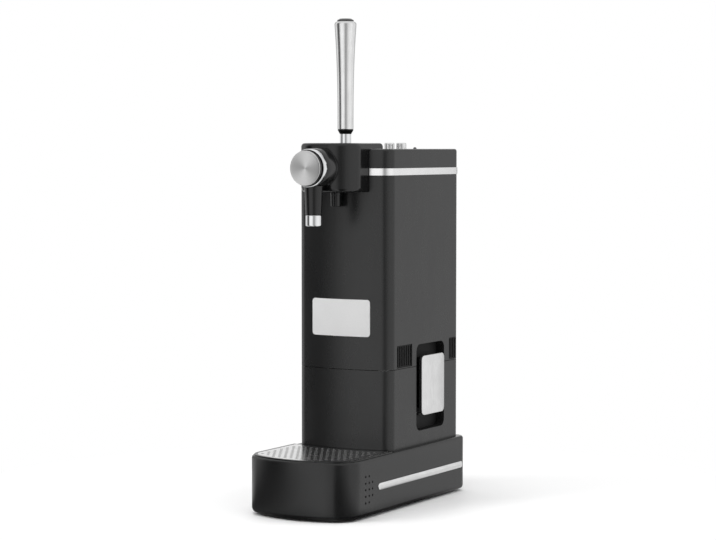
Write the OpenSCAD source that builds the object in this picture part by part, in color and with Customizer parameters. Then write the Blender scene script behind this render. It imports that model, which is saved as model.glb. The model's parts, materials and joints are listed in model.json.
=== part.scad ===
// Counter-top dispenser for canned beer: a long base with a drip tray, a column that holds the can,
// a lift-off upper housing with the tap on it, and a tall tap handle.
// Millimetres. The front faces -Y, +Z is up, and the origin is on the worktop under the middle of the base.

/* [Base] */
// Width of the base
base_w = 114; // [110:1:120]
// Length of the base, front to back
base_l = 244; // [236:1:256]
// Height of the base shell
base_h = 53.2; // [50:0.2:58]
// Radius of the bulged front of the base
base_nose_r = 103; // [95:1:125]
// Radius of the base's front corners
base_corner_r = 26; // [22:1:30]
// Radius of the base's back corners
base_tail_r = 11.4; // [9:0.2:14]
// Radius of the rounded bottom edge
base_edge_r = 3.6; // [2:0.2:4.5]
// Radius of the rounded top edge
base_top_r = 2.2; // [1:0.1:2.2]
// Wall of the base shell
base_wall = 2.8; // [2.4:0.2:3.4]
// Thickness of the base's top deck
deck_t = 4; // [3.5:0.5:5]
// Width of the shell's turned-in bottom rim
rim_w = 6.5; // [6:0.5:9]
// Thickness of the bottom plate
plate_t = 2.4; // [2:0.2:3.2]

/* [Feet] */
// Radius of a rubber foot
foot_r = 7.5; // [6:0.5:9]
// Height of the shell above the worktop
foot_lift = 2; // [1.5:0.5:4]
// Depth that a foot sits in the bottom plate
foot_sunk = 0.8; // [0.4:0.2:1.2]
// Distance of the feet from the sides of the base
foot_side = 15; // [13:1:21]
// Distance of the front feet from the front of the base
foot_front = 34; // [30:1:44]
// Distance of the rear feet from the back of the base
foot_rear = 18; // [16:1:22]

/* [Side trims and holes] */
// Length of a side trim bar
trim_l = 168.3; // [150:0.5:172]
// Height of a side trim bar
trim_h = 6.4; // [5:0.2:9]
// Distance of the trim bar's rear end from the back of the base
trim_rear = 10.5; // [10:0.5:20]
// Height of the trim bar's lower edge above the worktop
trim_z = 24; // [20:0.5:30]
// How far a trim bar stands out of the wall
trim_proud = 1.2; // [0.6:0.2:2]
// Radius of a hole in the side wall
vent_hole_r = 1.1; // [0.8:0.1:1.5]
// Spacing of the side holes along the base
hole_pitch_y = 6.3; // [5:0.1:7]
// Spacing of the side holes up the wall
hole_pitch_z = 6.1; // [5:0.1:6.6]
// Distance of the middle of the holes from the front of the base
hole_front = 48.2; // [44:0.2:52]
// Height of the middle of the holes above the worktop
hole_z = 27.2; // [25:0.2:30]

/* [Drip tray] */
// Gap between the base's outline and the tray's flange
tray_inset = 2.4; // [2:0.2:3.2]
// Thickness of the tray's flange
tray_flange_t = 1; // [0.8:0.1:1.4]
// Depth of the basin below the deck
basin_d = 21; // [15:1:26]
// Wall of the basin
basin_wall = 1.8; // [1.4:0.1:2.2]
// Thickness of the perforated plate
grille_t = 0.9; // [0.8:0.1:1]
// Radius of a drain hole
drain_r = 1.4; // [1:0.1:2]
// Spacing of the drain holes
drain_pitch = 6.4; // [6:0.1:9]

/* [Column] */
// Width of the column
col_w = 101.8; // [99:0.2:104]
// Depth of the column
col_l = 150; // [146:1:154]
// Height of the column above the base
col_h = 286; // [284:1:300]
// Distance from the column's back to the base's back
col_rear = 3.5; // [2:0.5:6]
// Radius of the column's bulged front
col_nose_r = 159.6; // [140:1:200]
// Radius of the column's front corners
col_corner_r = 11.8; // [10:0.2:14]
// Radius of the column's back corners
col_tail_r = 11.4; // [9:0.2:14]
// Wall of the column
col_wall = 3; // [2.6:0.2:3.2]
// Height of the fixed lower housing
lower_h = 76.7; // [74:0.1:79]
// Height of the seam between the housings
seam_gap = 0.5; // [0.3:0.1:1]
// Height of the top cap
cap_h = 18.1; // [17:0.1:20]
// Radius of the top cap's upper edge
cap_edge_r = 2; // [1:0.5:3]
// Height of the silver belt
belt_h = 6.8; // [5:0.2:9]
// How far the belt stands out of the column
belt_proud = 0.85; // [0.4:0.05:1.5]

/* [Column vents] */
// Width of a vent slot
slot_w = 2; // [1.6:0.1:2.4]
// Spacing of the vent slots
slot_pitch = 3.6; // [3.2:0.1:4]
// Height of a vent slot
slot_h = 19; // [14:0.5:20]
// Depth of the shallow recess round a group of vent slots
vent_sunk = 0.8; // [0.4:0.1:1]
// Margin of that recess round the slots
vent_rim = 1.2; // [0.8:0.1:1.4]
// Slots in a front vent
front_slots = 8; // [5:1:8]
// Slots in a rear vent
rear_slots = 4; // [3:1:5]
// Distance of the front vent's middle from the column's front
front_vent_y = 35.8; // [33:0.2:37]
// Distance of the rear vent's middle from the column's back
rear_vent_y = 16.4; // [16:0.2:18]

/* [Can chamber] */
// Radius of the can that fits
can_r = 33.1; // [32:0.1:33.5]
// Height of the can that fits
can_h = 168; // [165:0.5:170]
// Clearance round the can
can_clear = 1.9; // [1:0.1:2.2]
// Wall of the cup and of the chamber
cup_wall = 2.5; // [2:0.1:2.8]
// Distance of the can's axis behind the column's front
can_axis = 45.5; // [44:0.5:48]
// Thickness of the rubber mat under the can
mat_t = 1.8; // [1:0.2:3]
// Height that the cup stands above the lower housing
cup_rise = 22; // [21.6:0.2:26]
// Thickness of the seal ring
seal_t = 2.4; // [2:0.2:3]
// Space above the can
head_space = 8; // [6:0.5:12]
// Outer radius of the beer tube
tube_r = 3; // [2.5:0.1:3.5]
// Bore radius of the beer tube
tube_bore_r = 2; // [1.5:0.1:2]
// Distance of the beer tube in front of the can's axis
tube_off = 16; // [14:0.5:18]

/* [Latches] */
// Height of the latch plate
latch_h = 58; // [56:0.5:60]
// Width of the latch plate
latch_w = 45.4; // [40:0.2:48]
// Height of the latch plate's lower edge above the base
latch_z = 28.6; // [27:0.2:30]
// Distance of the latch's middle behind the column's front
latch_y = 87.5; // [84:0.5:90]
// Thickness of the silver latch plate
latch_skin = 1.5; // [1.2:0.1:2]
// How far the latch plate stands out of the column
latch_proud = 4.3; // [3.5:0.1:5]
// Width of the latch pocket
pocket_w = 56.6; // [54:0.2:60]
// Depth of the latch pocket
pocket_d = 8.9; // [8.5:0.1:9.4]
// Height of the pocket's lower edge above the base
pocket_z = 13.8; // [12:0.2:15]
// Height of the pocket
pocket_h = 84; // [82:0.5:86]
// Corner radius of the pocket
pocket_r = 7; // [5:0.5:9]
// Radius of the latch pin
latch_pin_r = 1.5; // [1.3:0.1:1.7]

/* [Tap block] */
// Width of the tap block
head_w = 62; // [60:0.5:64]
// Distance of the tap block's front from the column's front
head_reach = 35.2; // [34:0.2:37]
// Radius of the tap block's front corners
head_corner_r = 23; // [19:0.5:24]
// Height of the tap block below the column's top
head_drop = 40.5; // [40:0.5:44]
// Thickness of the flange on the column's top
flange_t = 5.5; // [4.6:0.1:6.5]
// How far the flange reaches over the column
flange_reach = 34.2; // [32:0.2:36]
// Radius of the flange's rear corners
flange_corner_r = 7.6; // [4:0.2:10]
// Radius of the tap block's lower edge
head_edge_r = 4; // [2:0.5:5]
// Radius of the flange's upper edge
head_top_r = 3; // [1:0.2:3.6]
// Wall of the tap block
head_wall = 3; // [2.4:0.2:3.4]

/* [Tap] */
// Drop of the barrel's axis below the column's top
barrel_drop = 17.6; // [17:0.1:18.4]
// Radius of the barrel at the block
barrel_r = 18.8; // [18:0.1:19]
// Radius of the barrel's front end
barrel_end_r = 17.4; // [17:0.1:17.8]
// How far the barrel stands out of the block
barrel_l = 16.3; // [15.8:0.1:18]
// Radius of the chrome ring
ring_r = 17.9; // [17.5:0.1:18.4]
// Width of the chrome ring
ring_w = 5.4; // [4:0.2:6]
// Radius of the steel end cap
disc_r = 16.15; // [15:0.05:17]
// Thickness of the steel end cap
disc_t = 3.5; // [2.5:0.1:4.5]
// Dark gap between the ring and the end cap
disc_gap = 1.8; // [1:0.1:2.5]
// Wall of the barrel
barrel_wall = 3; // [2.4:0.1:3.2]
// Distance of the spout's axis behind the barrel's front end
spout_back = 4.9; // [4:0.1:6]
// Radius at the top of the spout
spout_top_r = 8.7; // [8.2:0.1:9]
// Radius at the foot of the spout
spout_foot_r = 7.7; // [7.2:0.1:8]
// Height of the spout's lower end below the barrel's axis
spout_drop = 43.8; // [42:0.2:48]
// Length of the chrome tip
tip_l = 10.2; // [8:0.2:12]
// Radius of the chrome tip
tip_r = 7.75; // [7.3:0.05:8.2]
// Radius of the small rear nozzle
nozzle_r = 5.5; // [4.5:0.1:6]
// Length of the small rear nozzle
nozzle_l = 13.8; // [11:0.2:16]
// Distance of the small rear nozzle's axis in front of the column
nozzle_y = 6.7; // [6.4:0.1:9]

/* [Tap handle] */
// Distance of the lever's pivot behind the column's front
pivot_y = 11.3; // [11:0.1:12]
// Depth of the pivot below the column's top
pivot_drop = 10.3; // [10:0.1:11]
// Radius of the pivot pin
pivot_r = 2.5; // [2:0.1:2.8]
// Radius of the chrome stem
stem_r = 5.3; // [4.6:0.1:5.6]
// Height of the bare stem above the tap block
stem_h = 8.7; // [7:0.1:12]
// Height of the black collar
collar_h = 4.4; // [3:0.2:6]
// Height of the silver handle
handle_h = 102; // [85:0.5:125]
// Radius at the foot of the handle
handle_foot_r = 7.6; // [7:0.1:9]
// Radius at the top of the handle
handle_top_r = 10.5; // [9.5:0.1:13]
// How sharply the handle swells towards its top
handle_swell = 2.6; // [2:0.1:3.5]
// Height of the handle's end cap
end_cap_h = 2.5; // [1.5:0.1:4]
// Swing of the handle towards the user, in degrees
pour_swing = 20; // [14:1:20]
// Swing of the handle away from the user, in degrees
foam_swing = 12; // [8:1:12]

/* [Buttons] */
// Radius of a push button
button_r = 5; // [4:0.1:5.6]
// How far a push button stands out of the cap
button_proud = 6; // [3:0.2:7]
// Travel of a push button
button_travel = 1.5; // [1:0.1:1.8]
// Spacing of the two buttons
button_pitch = 13.4; // [13:0.2:16]
// Distance of the buttons behind the column's front
button_y = 108; // [104:0.5:112]
// Radius of the status light
lamp_r = 1.8; // [1.2:0.1:2.5]
// Distance of the status light from the middle plane
lamp_x = 22; // [18:0.5:26]

/* [Label] */
// Width of the blank label
label_w = 63.4; // [50:0.2:70]
// Height of the blank label
label_h = 35.2; // [25:0.2:45]
// Height of the label's lower edge above the base
label_z = 108.5; // [95:0.5:125]
// Thickness of the label
label_t = 0.6; // [0.4:0.1:1]

/* [Battery bay] */
// Radius of a battery cell
cell_r = 7.15; // [7:0.05:7.25]
// Length of a battery cell
cell_l = 50.5; // [49:0.1:50.8]
// Spacing of the cells
cell_pitch = 15.5; // [15.3:0.1:15.8]
// Height of the battery door's lower edge above the base
door_z = 131; // [124:0.5:134]
// Width of the battery door
door_w = 66; // [64.6:0.2:68]
// Height of the battery door
door_h = 60.6; // [58.5:0.2:62]
// Thickness of the battery door
door_t = 2.4; // [2:0.1:2.6]

/* [Fits] */
// Running clearance of a pin in its bore
pin_clear = 0.06; // [0.03:0.01:0.1]
// Gap between pieces that move past each other
slip = 0.3; // [0.3:0.05:0.5]
// Radius of a screw's shank
screw_r = 1.5; // [1.3:0.1:1.7]
// Radius of a screw's head
screw_head_r = 2.8; // [2.6:0.1:3]

/* [Hidden] */
$fn = 96;
FEET = ["foot_front_left", "foot_front_right", "foot_rear_left", "foot_rear_right"];
eps = 0.01;
arc_overlap = 0.02;
edge_step = 0.1;
edge_band = 0.1;

// Levels, from the worktop up
deck_z = foot_lift + base_h;
seam_z = deck_z + lower_h;
col_top = deck_z + col_h;
cap_z = col_top - cap_h;
belt_z = cap_z - belt_h;
cap_roof = 3;
cap_under = col_top - cap_roof;

// Places along the object
base_y0 = -base_l / 2;
base_y1 = base_l / 2;
col_y1 = base_y1 - col_rear;
col_y0 = col_y1 - col_l;
col_hw = col_w / 2;
can_y = col_y0 + can_axis;
head_y0 = col_y0 - head_reach;
flange_y1 = col_y0 + flange_reach;

// Can chamber
cup_bore_r = can_r + can_clear;
cup_r = cup_bore_r + cup_wall;
cup_floor_t = 3;
cup_top = seam_z + cup_rise;
mat_z = deck_z + cup_floor_t;
can_z = mat_z + mat_t;
chamber_z = cup_top + seal_t + slip;
ceiling_z = can_z + can_h + head_space;
chamber_top = ceiling_z + cup_wall;
chamber_lip_t = 2.5;
chamber_lip_w = 4.5;
carrier_z = chamber_z + chamber_lip_t;
carrier_t = 4;
wire_gap_side = 21;
wire_gap_w = col_w - 2 * wire_gap_side;
wire_gap_l = 26;
wire_gap_y = can_y + cup_r + 20.5;
tube_y = can_y - tube_off;
hose_r = 2.5;
hose_bore_r = 1.5;
hose_x = -20;
hose_y = can_y + 22;
nipple_h = 8;

// Shelf with the pump
shelf_z = chamber_top + nipple_h + 9;
shelf_t = 2.5;
ledge_t = 2.5;
pump_y = col_y1 - col_wall - 33.5;
motor_r = 12;
motor_h = 30;
pump_w = 27;
pump_h = 22;
pump_notch = pump_w / 9;
wire_hole_x = 25;
wire_hole_r = 6;
pump_z = shelf_z + shelf_t + motor_h;
hose_z = pump_z + pump_h / 2;

// Latch, drawn on the right-hand side
latch_mid = col_y0 + latch_y;
latch_z0 = deck_z + latch_z;
latch_face = col_hw + latch_proud;
pocket_floor = col_hw - pocket_d;
pocket_z0 = deck_z + pocket_z;
pocket_skin = 2.5;
latch_pin_x = pocket_floor + 4.5;
latch_pin_z = latch_z0 + 3.2;
latch_hub_r = 3.6;
latch_body_t = 3.4;
latch_body_x = latch_face - latch_skin - latch_body_t;
latch_inset = 1.3;
catch_x = pocket_floor + 5;
catch_z = seam_z + seam_gap + 1.8;
catch_h = 5;
catch_w = 22;

// Tap
head_top = col_top + 0.1 + flange_t;
head_z = col_top - head_drop;
axis_z = col_top - barrel_drop;
barrel_y0 = head_y0 - barrel_l;
barrel_in = 16;
barrel_y1 = head_y0 + barrel_in;
barrel_bore_r = barrel_end_r - barrel_wall;
barrel_front_t = 1.5;
ring_y = barrel_y0 - ring_w;
neck_r = disc_r - 1.2;
disc_y1 = ring_y - disc_gap;
spout_y = barrel_y0 + spout_back;
spout_z = axis_z - spout_drop;
spout_bore_r = tube_r + 0.05;
spout_neck_r = spout_bore_r + 1.2;
spout_neck_top = axis_z - barrel_bore_r + 4;
tip_z = spout_z - tip_l;
line_z = head_z + head_wall + tube_r + 1;
line_up_y = barrel_y1 + tube_r + 1.5;
line_top_z = axis_z - 4;
foam_y = barrel_y1 - 6;

// Tap handle
lever_y = col_y0 + pivot_y;
lever_z = col_top - pivot_drop;
hub_r = pivot_r + 4;
hub_hw = 5.5;
ear_x = 8.3;
ear_t = 3;
pin_l = 2 * (ear_x + ear_t);
pin_cut_l = pin_l + 10;
label_reach = 20;
label_round = 3;
tail_z = line_z + tube_r + 1.2;
tail_t = 5;
stud_r = 3;
stud_l = 12;
stem_foot_z = lever_z + pivot_r + 2;
collar_z = head_top + stem_h;
handle_z = collar_z + collar_h;
handle_top = handle_z + handle_h;
shoulder_h = 3;
lever_gap_hw = 15;
lever_gap_y = lever_y + 11.2;
slot_hw = stem_r + 0.7;
slot_front = (head_top - lever_z) * tan(pour_swing) + stem_r / cos(pour_swing) + 1;
slot_back = (head_top - lever_z) * tan(foam_swing) + stem_r / cos(foam_swing) + 1;
slot_mid = lever_y + (slot_back - slot_front) / 2;

// Boards, switches and buttons
board_t = 1.6;
board_z = cap_under - 12;
board_w = 60;
board_l = 36;
button_mid = col_y0 + button_y;
button_flange_r = button_r + 1.3;
button_flange_t = 1.5;
switch_y = lever_y + 10.6;
switch_board_y = switch_y + 4.8;
switch_w = 12;
switch_h = 10;
plunger_hw = 1.5;
plunger_hh = 1;
pour_switch_z = tail_z + 2;
pour_tip_z = pour_switch_z + 1.5;
pour_tip_fall = lever_z - pour_tip_z + plunger_hh;
pour_tip_y = lever_y + tail_t / 2 / cos(pour_swing) + pour_tip_fall * tan(pour_swing) + slip;
foam_tip_rise = 5;
foam_tip_z = lever_z + foam_tip_rise;
foam_switch_z = foam_tip_z + 1.2 - switch_h;
foam_tip_y = lever_y + hub_hw / cos(foam_swing) + (foam_tip_rise + plunger_hh) * tan(foam_swing) + slip;

// Battery bay
door_z0 = deck_z + door_z;
bay_wall = 2.5;
bay_d = 2 * cell_r + 3;
bay_y1 = col_y1 - col_wall;
bay_hw = 2 * cell_pitch + 0.4;
cell_y = bay_y1 - cell_r - 1.5;
cell_z = door_z0 + (door_h - cell_l) / 2;
door_pin_r = 0.7;
door_pin_l = 1.6;

screw_l = 10;
boss_r = 4.2;
tray_rear = col_y0 + 5.5;
basin_rear = col_y0 - 7;
basin_inset = tray_inset + 3.4;
drain_margin = basin_inset + basin_wall + drain_r + 0.5;
drain_row = drain_pitch * sqrt(3) / 2;

trim_seat = 1.2;
base_screw_at = [for (sx = [-1, 1], y = [basin_rear + 10.5, col_y1 - 30]) [sx * (base_w / 2 - 14), y]];
housing_screw_at = [for (sx = [-1, 1], y = [col_y0 + 19.5, col_y1 - 10.5]) [sx * (col_hw - 6.6), y]];
chamber_screw_r = cup_r + chamber_lip_w - 2;
chamber_screw_at = [for (a = [45 : 90 : 315]) [chamber_screw_r * cos(a), can_y + chamber_screw_r * sin(a)]];

// Runs of the tubes in their upright planes, as [y, z]
line_run = [
    [tube_y, chamber_top], [tube_y, line_z], [line_up_y, line_z], [line_up_y, line_top_z],
    [spout_y, line_top_z], [spout_y, spout_neck_top - 3]
];
hose_run = [[hose_y, chamber_top], [hose_y, hose_z], [pump_y - pump_w / 2, hose_z]];

// Whether a drain hole lies wholly over the basin
function drain_fits(x, y) =
    let (cx = base_w / 2 - base_corner_r, nose_y = base_y0 + base_nose_r)
    let (cy = nose_y - sqrt(pow(base_nose_r - base_corner_r, 2) - pow(cx, 2)))
    abs(x) < base_w / 2 - drain_margin && norm([x, y - nose_y]) < base_nose_r - drain_margin
    && (abs(x) < cx || y > cy || norm([abs(x) - cx, y - cy]) < base_corner_r - drain_margin);

drain_y = basin_rear - basin_wall - drain_r - 0.5;
drains = [
    for (j = [0 : floor((drain_y - base_y0) / drain_row)])
        for (i = [-floor(base_w / 2 / drain_pitch) : floor(base_w / 2 / drain_pitch)])
            let (x = (i + (j % 2) / 2) * drain_pitch, y = drain_y - j * drain_row)
                if (drain_fits(x, y)) [x, y]
];

// Plan with a bulged front, straight sides and rounded corners, drawn inset by t.
// The front corners stand a hair proud, so that their arcs cross the bulge and the sides.
module bulged_plan(w, y0, y1, nose, corner, tail, t = 0) {
    hw = w / 2;
    cx = hw - corner;
    nose_y = y0 + nose;
    cy = nose_y - sqrt(pow(nose - corner, 2) - pow(cx, 2));
    far_y = nose_y - 1.05 * nose;
    far_x = 1.05 * nose * cx / (nose_y - cy);
    tx = hw - tail;
    ty = y1 - tail;
    intersection() {
        translate([0, nose_y]) circle(r = nose - t, $fn = 180);
        polygon([[-cx, cy + 4], [-cx, cy], [-far_x, far_y], [far_x, far_y], [cx, cy], [cx, cy + 4]]);
    }
    for (s = [-1, 1]) {
        translate([s * cx, cy]) circle(r = corner - t + arc_overlap);
        translate([s * tx, ty]) circle(r = tail - t);
    }
    polygon([
        [-hw + t, cy], [hw - t, cy], [hw - t, ty], [tx, ty], [tx, y1 - t],
        [-tx, y1 - t], [-tx, ty], [-hw + t, ty]
    ]);
}

module base_plan(t = 0) {
    bulged_plan(base_w, base_y0, base_y1, base_nose_r, base_corner_r, base_tail_r, t);
}

module col_plan(t = 0) {
    bulged_plan(col_w, col_y0, col_y1, col_nose_r, col_corner_r, col_tail_r, t);
}

// Rectangle with rounded corners, centred
module round_rect(w, h, r) {
    for (sx = [-1, 1], sy = [-1, 1]) {
        translate([sx * (w / 2 - r), sy * (h / 2 - r)]) circle(r = r, $fn = 48);
    }
    square([w - 2 * r, h], center = true);
    square([w, h - 2 * r], center = true);
}

// Prism of a plan between two levels
module slab(z0, z1) {
    translate([0, 0, z0]) linear_extrude(z1 - z0) children();
}

// Rounded edge of a convex plan, starting at the level z; a negative radius rounds downwards.
// The plan is drawn with the inset $in.
module rounded(z, r) hull() {
    for (a = [0 : 30 : 90]) {
        level = z + r * sin(a);
        inner = level - sign(r) * edge_band;
        let ($in = abs(r) * (1 - cos(a)) + edge_step) slab(min(level, inner), max(level, inner)) children();
    }
}

// Upright cylinder at a place, between two levels
module post(x, y, z0, z1, r) {
    translate([x, y, z0]) cylinder(h = z1 - z0, r = r, $fn = 48);
}

// Cylinder along Y, between two places
module rod_y(x, z, y0, y1, r) {
    translate([x, y0, z]) rotate([-90, 0, 0]) cylinder(h = y1 - y0, r = r, $fn = 48);
}

// Cylinder along X, centred on the middle plane
module rod_x(y, z, l, r) {
    translate([0, y, z]) rotate([0, 90, 0]) cylinder(h = l, r = r, center = true, $fn = 48);
}

// Screw with a pan head, pointing up from the level z
module screw(x, y, z) {
    post(x, y, z, z + 1.8, screw_head_r);
    post(x, y, z + 1.8 - eps, z + 1.8 + screw_l, screw_r);
}

// Outline of the tray: the front of the base, cut off in front of the column
module tray_plan(t, rear, gap) {
    difference() {
        intersection() {
            base_plan(t);
            translate([-base_w, base_y0 - 1]) square([2 * base_w, rear - base_y0 + 1]);
        }
        col_plan(-gap);
    }
}

// Holes in the side wall, in rows of two and three
module side_holes() {
    for (row = [-2 : 2], col = [-1 : 1]) {
        if (abs(row) < 2 || col < 1) {
            translate([-base_w, base_y0 + hole_front + col * hole_pitch_y, hole_z + row * hole_pitch_z])
                rotate([0, 90, 0]) cylinder(h = 2 * base_w, r = vent_hole_r, $fn = 24);
        }
    }
}

// Bar with a round front end, lying along a side wall of the base
module trim_bar(x0, x1, extra = 0) {
    r = trim_h / 2 + extra;
    y1 = base_y1 - trim_rear;
    y0 = y1 - trim_l;
    mid = trim_z + trim_h / 2;
    for (y = [y0 + trim_h / 2, y1 - trim_h / 2]) {
        translate([x0, y, mid]) rotate([0, 90, 0]) cylinder(h = x1 - x0, r = r, $fn = 48);
    }
    translate([x0, y0 + trim_h / 2, mid - r]) cube([x1 - x0, trim_l - trim_h, 2 * r]);
}

module base_shell() color([0.12, 0.12, 0.13]) {
    rim_z = foot_lift + base_edge_r;
    difference() {
        union() {
            rounded(rim_z, -base_edge_r) base_plan($in);
            slab(rim_z, deck_z - base_top_r) base_plan(0);
            rounded(deck_z - base_top_r, base_top_r) base_plan($in);
        }
        slab(foot_lift - 1, rim_z + 1) base_plan(rim_w);
        slab(rim_z, deck_z - deck_t) base_plan(base_wall);
        slab(deck_z - 2, deck_z + 1) tray_plan(tray_inset + 1.4, tray_rear - 1, 1.6);
        slab(deck_z - deck_t - 1, deck_z) tray_plan(basin_inset - 0.4, basin_rear + 0.6, 2);
        side_holes();
        for (s = [-1, 1]) {
            mirror([s < 0 ? 1 : 0, 0, 0]) trim_bar(base_w / 2 - trim_seat, base_w / 2 + 2, 0.1);
        }
        for (p = housing_screw_at) {
            post(p[0], p[1], deck_z - deck_t - 1, deck_z + 1, screw_r + 0.2);
        }
    }
    for (p = base_screw_at) {
        difference() {
            post(p[0], p[1], foot_lift + plate_t, deck_z - deck_t + eps, boss_r);
            post(p[0], p[1], foot_lift, foot_lift + plate_t + screw_l + 1, screw_r);
        }
    }
}

module base_plate() color([0.1, 0.1, 0.1]) difference() {
    slab(foot_lift, foot_lift + plate_t) base_plan(rim_w + 0.3);
    for (i = [0 : 3]) {
        post(foot_at(i)[0], foot_at(i)[1], foot_lift - 1, foot_lift + foot_sunk, foot_r);
    }
    for (p = base_screw_at) {
        post(p[0], p[1], foot_lift - 1, foot_lift + 1.8, screw_head_r + 0.2);
        post(p[0], p[1], foot_lift, foot_lift + plate_t + 1, screw_r);
    }
}

// Place of a foot: front left, front right, rear left, rear right
function foot_at(i) = [
    (i % 2 == 0 ? -1 : 1) * (base_w / 2 - foot_side),
    i < 2 ? base_y0 + foot_front : base_y1 - foot_rear
];

module foot(i) color([0.2, 0.2, 0.2]) translate([foot_at(i)[0], foot_at(i)[1], 0]) rotate_extrude() {
    square([foot_r - 0.6, foot_lift + foot_sunk]);
    translate([0, 0.6]) square([foot_r, foot_lift + foot_sunk - 0.6]);
}

module base_screws() color("silver") {
    for (p = base_screw_at) {
        screw(p[0], p[1], foot_lift);
    }
}

module side_trim(s) color("silver") mirror([s < 0 ? 1 : 0, 0, 0]) {
    trim_bar(base_w / 2 - trim_seat, base_w / 2 + trim_proud);
}

module drip_tray() color([0.13, 0.13, 0.13]) {
    floor_z = deck_z - basin_d;
    grille_z = deck_z + tray_flange_t - grille_t;
    difference() {
        union() {
            slab(deck_z, deck_z + tray_flange_t) tray_plan(tray_inset, tray_rear, 0.6);
            slab(deck_z - 1.8, deck_z + eps) tray_plan(tray_inset + 1.6, tray_rear - 1.3, 1.9);
            slab(floor_z, deck_z) tray_plan(basin_inset, basin_rear, 3);
        }
        slab(grille_z, deck_z + 3) tray_plan(tray_inset + 2.7, tray_rear - 2.3, 2.9);
        slab(floor_z + basin_wall, deck_z + 3)
            tray_plan(basin_inset + basin_wall, basin_rear - basin_wall, 3);
    }
}

module drip_grille() color([0.75, 0.76, 0.77]) {
    slab(deck_z + tray_flange_t - grille_t, deck_z + tray_flange_t) difference() {
        tray_plan(tray_inset + 2.9, tray_rear - 2.6, 3.2);
        for (p = drains) {
            translate(p) circle(r = drain_r, $fn = 24);
        }
    }
}

// Pocket for a latch, on the right-hand side: its outline seen from the side
module pocket_plan(grow = 0) {
    translate([latch_mid, pocket_z0 + pocket_h / 2])
        round_rect(pocket_w + 2 * grow, pocket_h + 2 * grow, pocket_r + grow);
}

// Block cut to a side outline, from x0 to x1
module side_block(x0, x1) {
    translate([x0, 0, 0]) rotate([90, 0, 90]) linear_extrude(x1 - x0) children();
}

module both_sides() {
    children();
    mirror([1, 0, 0]) children();
}

module lower_housing() color([0.12, 0.12, 0.13]) {
    deck = 2.5;
    difference() {
        union() {
            difference() {
                slab(deck_z, seam_z) col_plan(0);
                slab(deck_z - 1, seam_z - deck) col_plan(col_wall);
            }
            intersection() {
                slab(deck_z, seam_z) col_plan(0.5);
                both_sides() side_block(pocket_floor - pocket_skin, col_hw) pocket_plan(pocket_skin);
            }
            for (p = housing_screw_at) {
                post(p[0], p[1], deck_z, deck_z + 18, boss_r);
            }
        }
        post(0, can_y, seam_z - deck - 1, seam_z + 1, cup_r);
        both_sides() side_block(pocket_floor, col_hw + 2) pocket_plan();
        both_sides() latch_rod(pocket_w + 4.6, latch_pin_r);
        for (p = housing_screw_at) {
            post(p[0], p[1], deck_z - 1, deck_z + 14, screw_r);
        }
    }
}

// Round bar along the latch's pivot, on the right-hand side
module latch_rod(l, r) {
    translate([latch_pin_x, latch_mid, latch_pin_z]) rotate([90, 0, 0])
        cylinder(h = l, r = r, center = true, $fn = 48);
}

module housing_screws() color("silver") {
    for (p = housing_screw_at) {
        screw(p[0], p[1], deck_z - deck_t - 1.8);
    }
}

module can_cup() color([0.8, 0.8, 0.82]) difference() {
    tube_post(0, can_y, deck_z, cup_top, cup_r);
    tube_post(0, can_y, mat_z, cup_top + 1, cup_bore_r);
}

// Upright cylinder with a fine outline
module tube_post(x, y, z0, z1, r) {
    translate([x, y, z0]) cylinder(h = z1 - z0, r = r);
}

module can_mat() color([0.25, 0.25, 0.25]) difference() {
    tube_post(0, can_y, mat_z, can_z, cup_bore_r - 0.3);
    for (r = [8 : 8 : 24]) {
        translate([0, can_y, can_z - 0.6]) difference() {
            cylinder(h = 1, r = r + 1);
            translate([0, 0, -1]) cylinder(h = 3, r = r);
        }
    }
}

module cup_seal() color([0.6, 0.6, 0.6]) translate([0, can_y, cup_top]) difference() {
    cylinder(h = seal_t, r = cup_r - 0.2);
    translate([0, 0, -1]) cylinder(h = seal_t + 2, r = cup_bore_r + 0.2);
}

module latch_pin(s) color("silver") mirror([s < 0 ? 1 : 0, 0, 0]) {
    latch_rod(pocket_w + 4.6, latch_pin_r);
}

// Lever behind the latch plate, with its hub round the pin and its lip against the catch
module latch_lever(s) color([0.1, 0.1, 0.1]) mirror([s < 0 ? 1 : 0, 0, 0]) {
    mid_z = latch_z0 + latch_h / 2;
    difference() {
        union() {
            side_block(latch_body_x, latch_body_x + latch_body_t) translate([latch_mid, mid_z])
                round_rect(latch_w - 2 * latch_inset, latch_h - 2 * latch_inset, 4);
            latch_rod(latch_w - 6, latch_hub_r);
            for (y = [-1, 1]) {
                translate([latch_pin_x, latch_mid + y * (latch_w / 2 - 5.5) - 2.5, latch_pin_z - 1.9])
                    cube([latch_body_x - latch_pin_x + 1, 5, latch_hub_r + 1.9]);
            }
            translate([catch_x + slip, latch_mid - catch_w / 2, catch_z])
                cube([latch_body_x - catch_x - slip + 1, catch_w, catch_h]);
        }
        latch_rod(latch_w, latch_pin_r + pin_clear);
    }
}

module latch_plate(s) color("silver") mirror([s < 0 ? 1 : 0, 0, 0]) {
    mid_z = latch_z0 + latch_h / 2;
    side_block(latch_face - latch_skin, latch_face - 0.5) translate([latch_mid, mid_z])
        round_rect(latch_w, latch_h, 5);
    side_block(latch_face - 0.5 - eps, latch_face) translate([latch_mid, mid_z])
        round_rect(latch_w - 1, latch_h - 1, 4.5);
}

// Row of upright vent slots through both side walls
module vent(mid_y, count) {
    z0 = seam_z + seam_gap + 2;
    panel_w = (count - 1) * slot_pitch + slot_w + 2 * vent_rim;
    both_sides() translate([col_hw - vent_sunk, mid_y - panel_w / 2, z0 - vent_rim])
        cube([vent_sunk + 1, panel_w, slot_h + 2 * vent_rim]);
    for (i = [0 : count - 1]) {
        y = mid_y + (i - (count - 1) / 2) * slot_pitch;
        both_sides() translate([col_hw - col_wall - 0.5, y - slot_w / 2, z0])
            cube([col_wall + 2, slot_w, slot_h]);
    }
}

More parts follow.
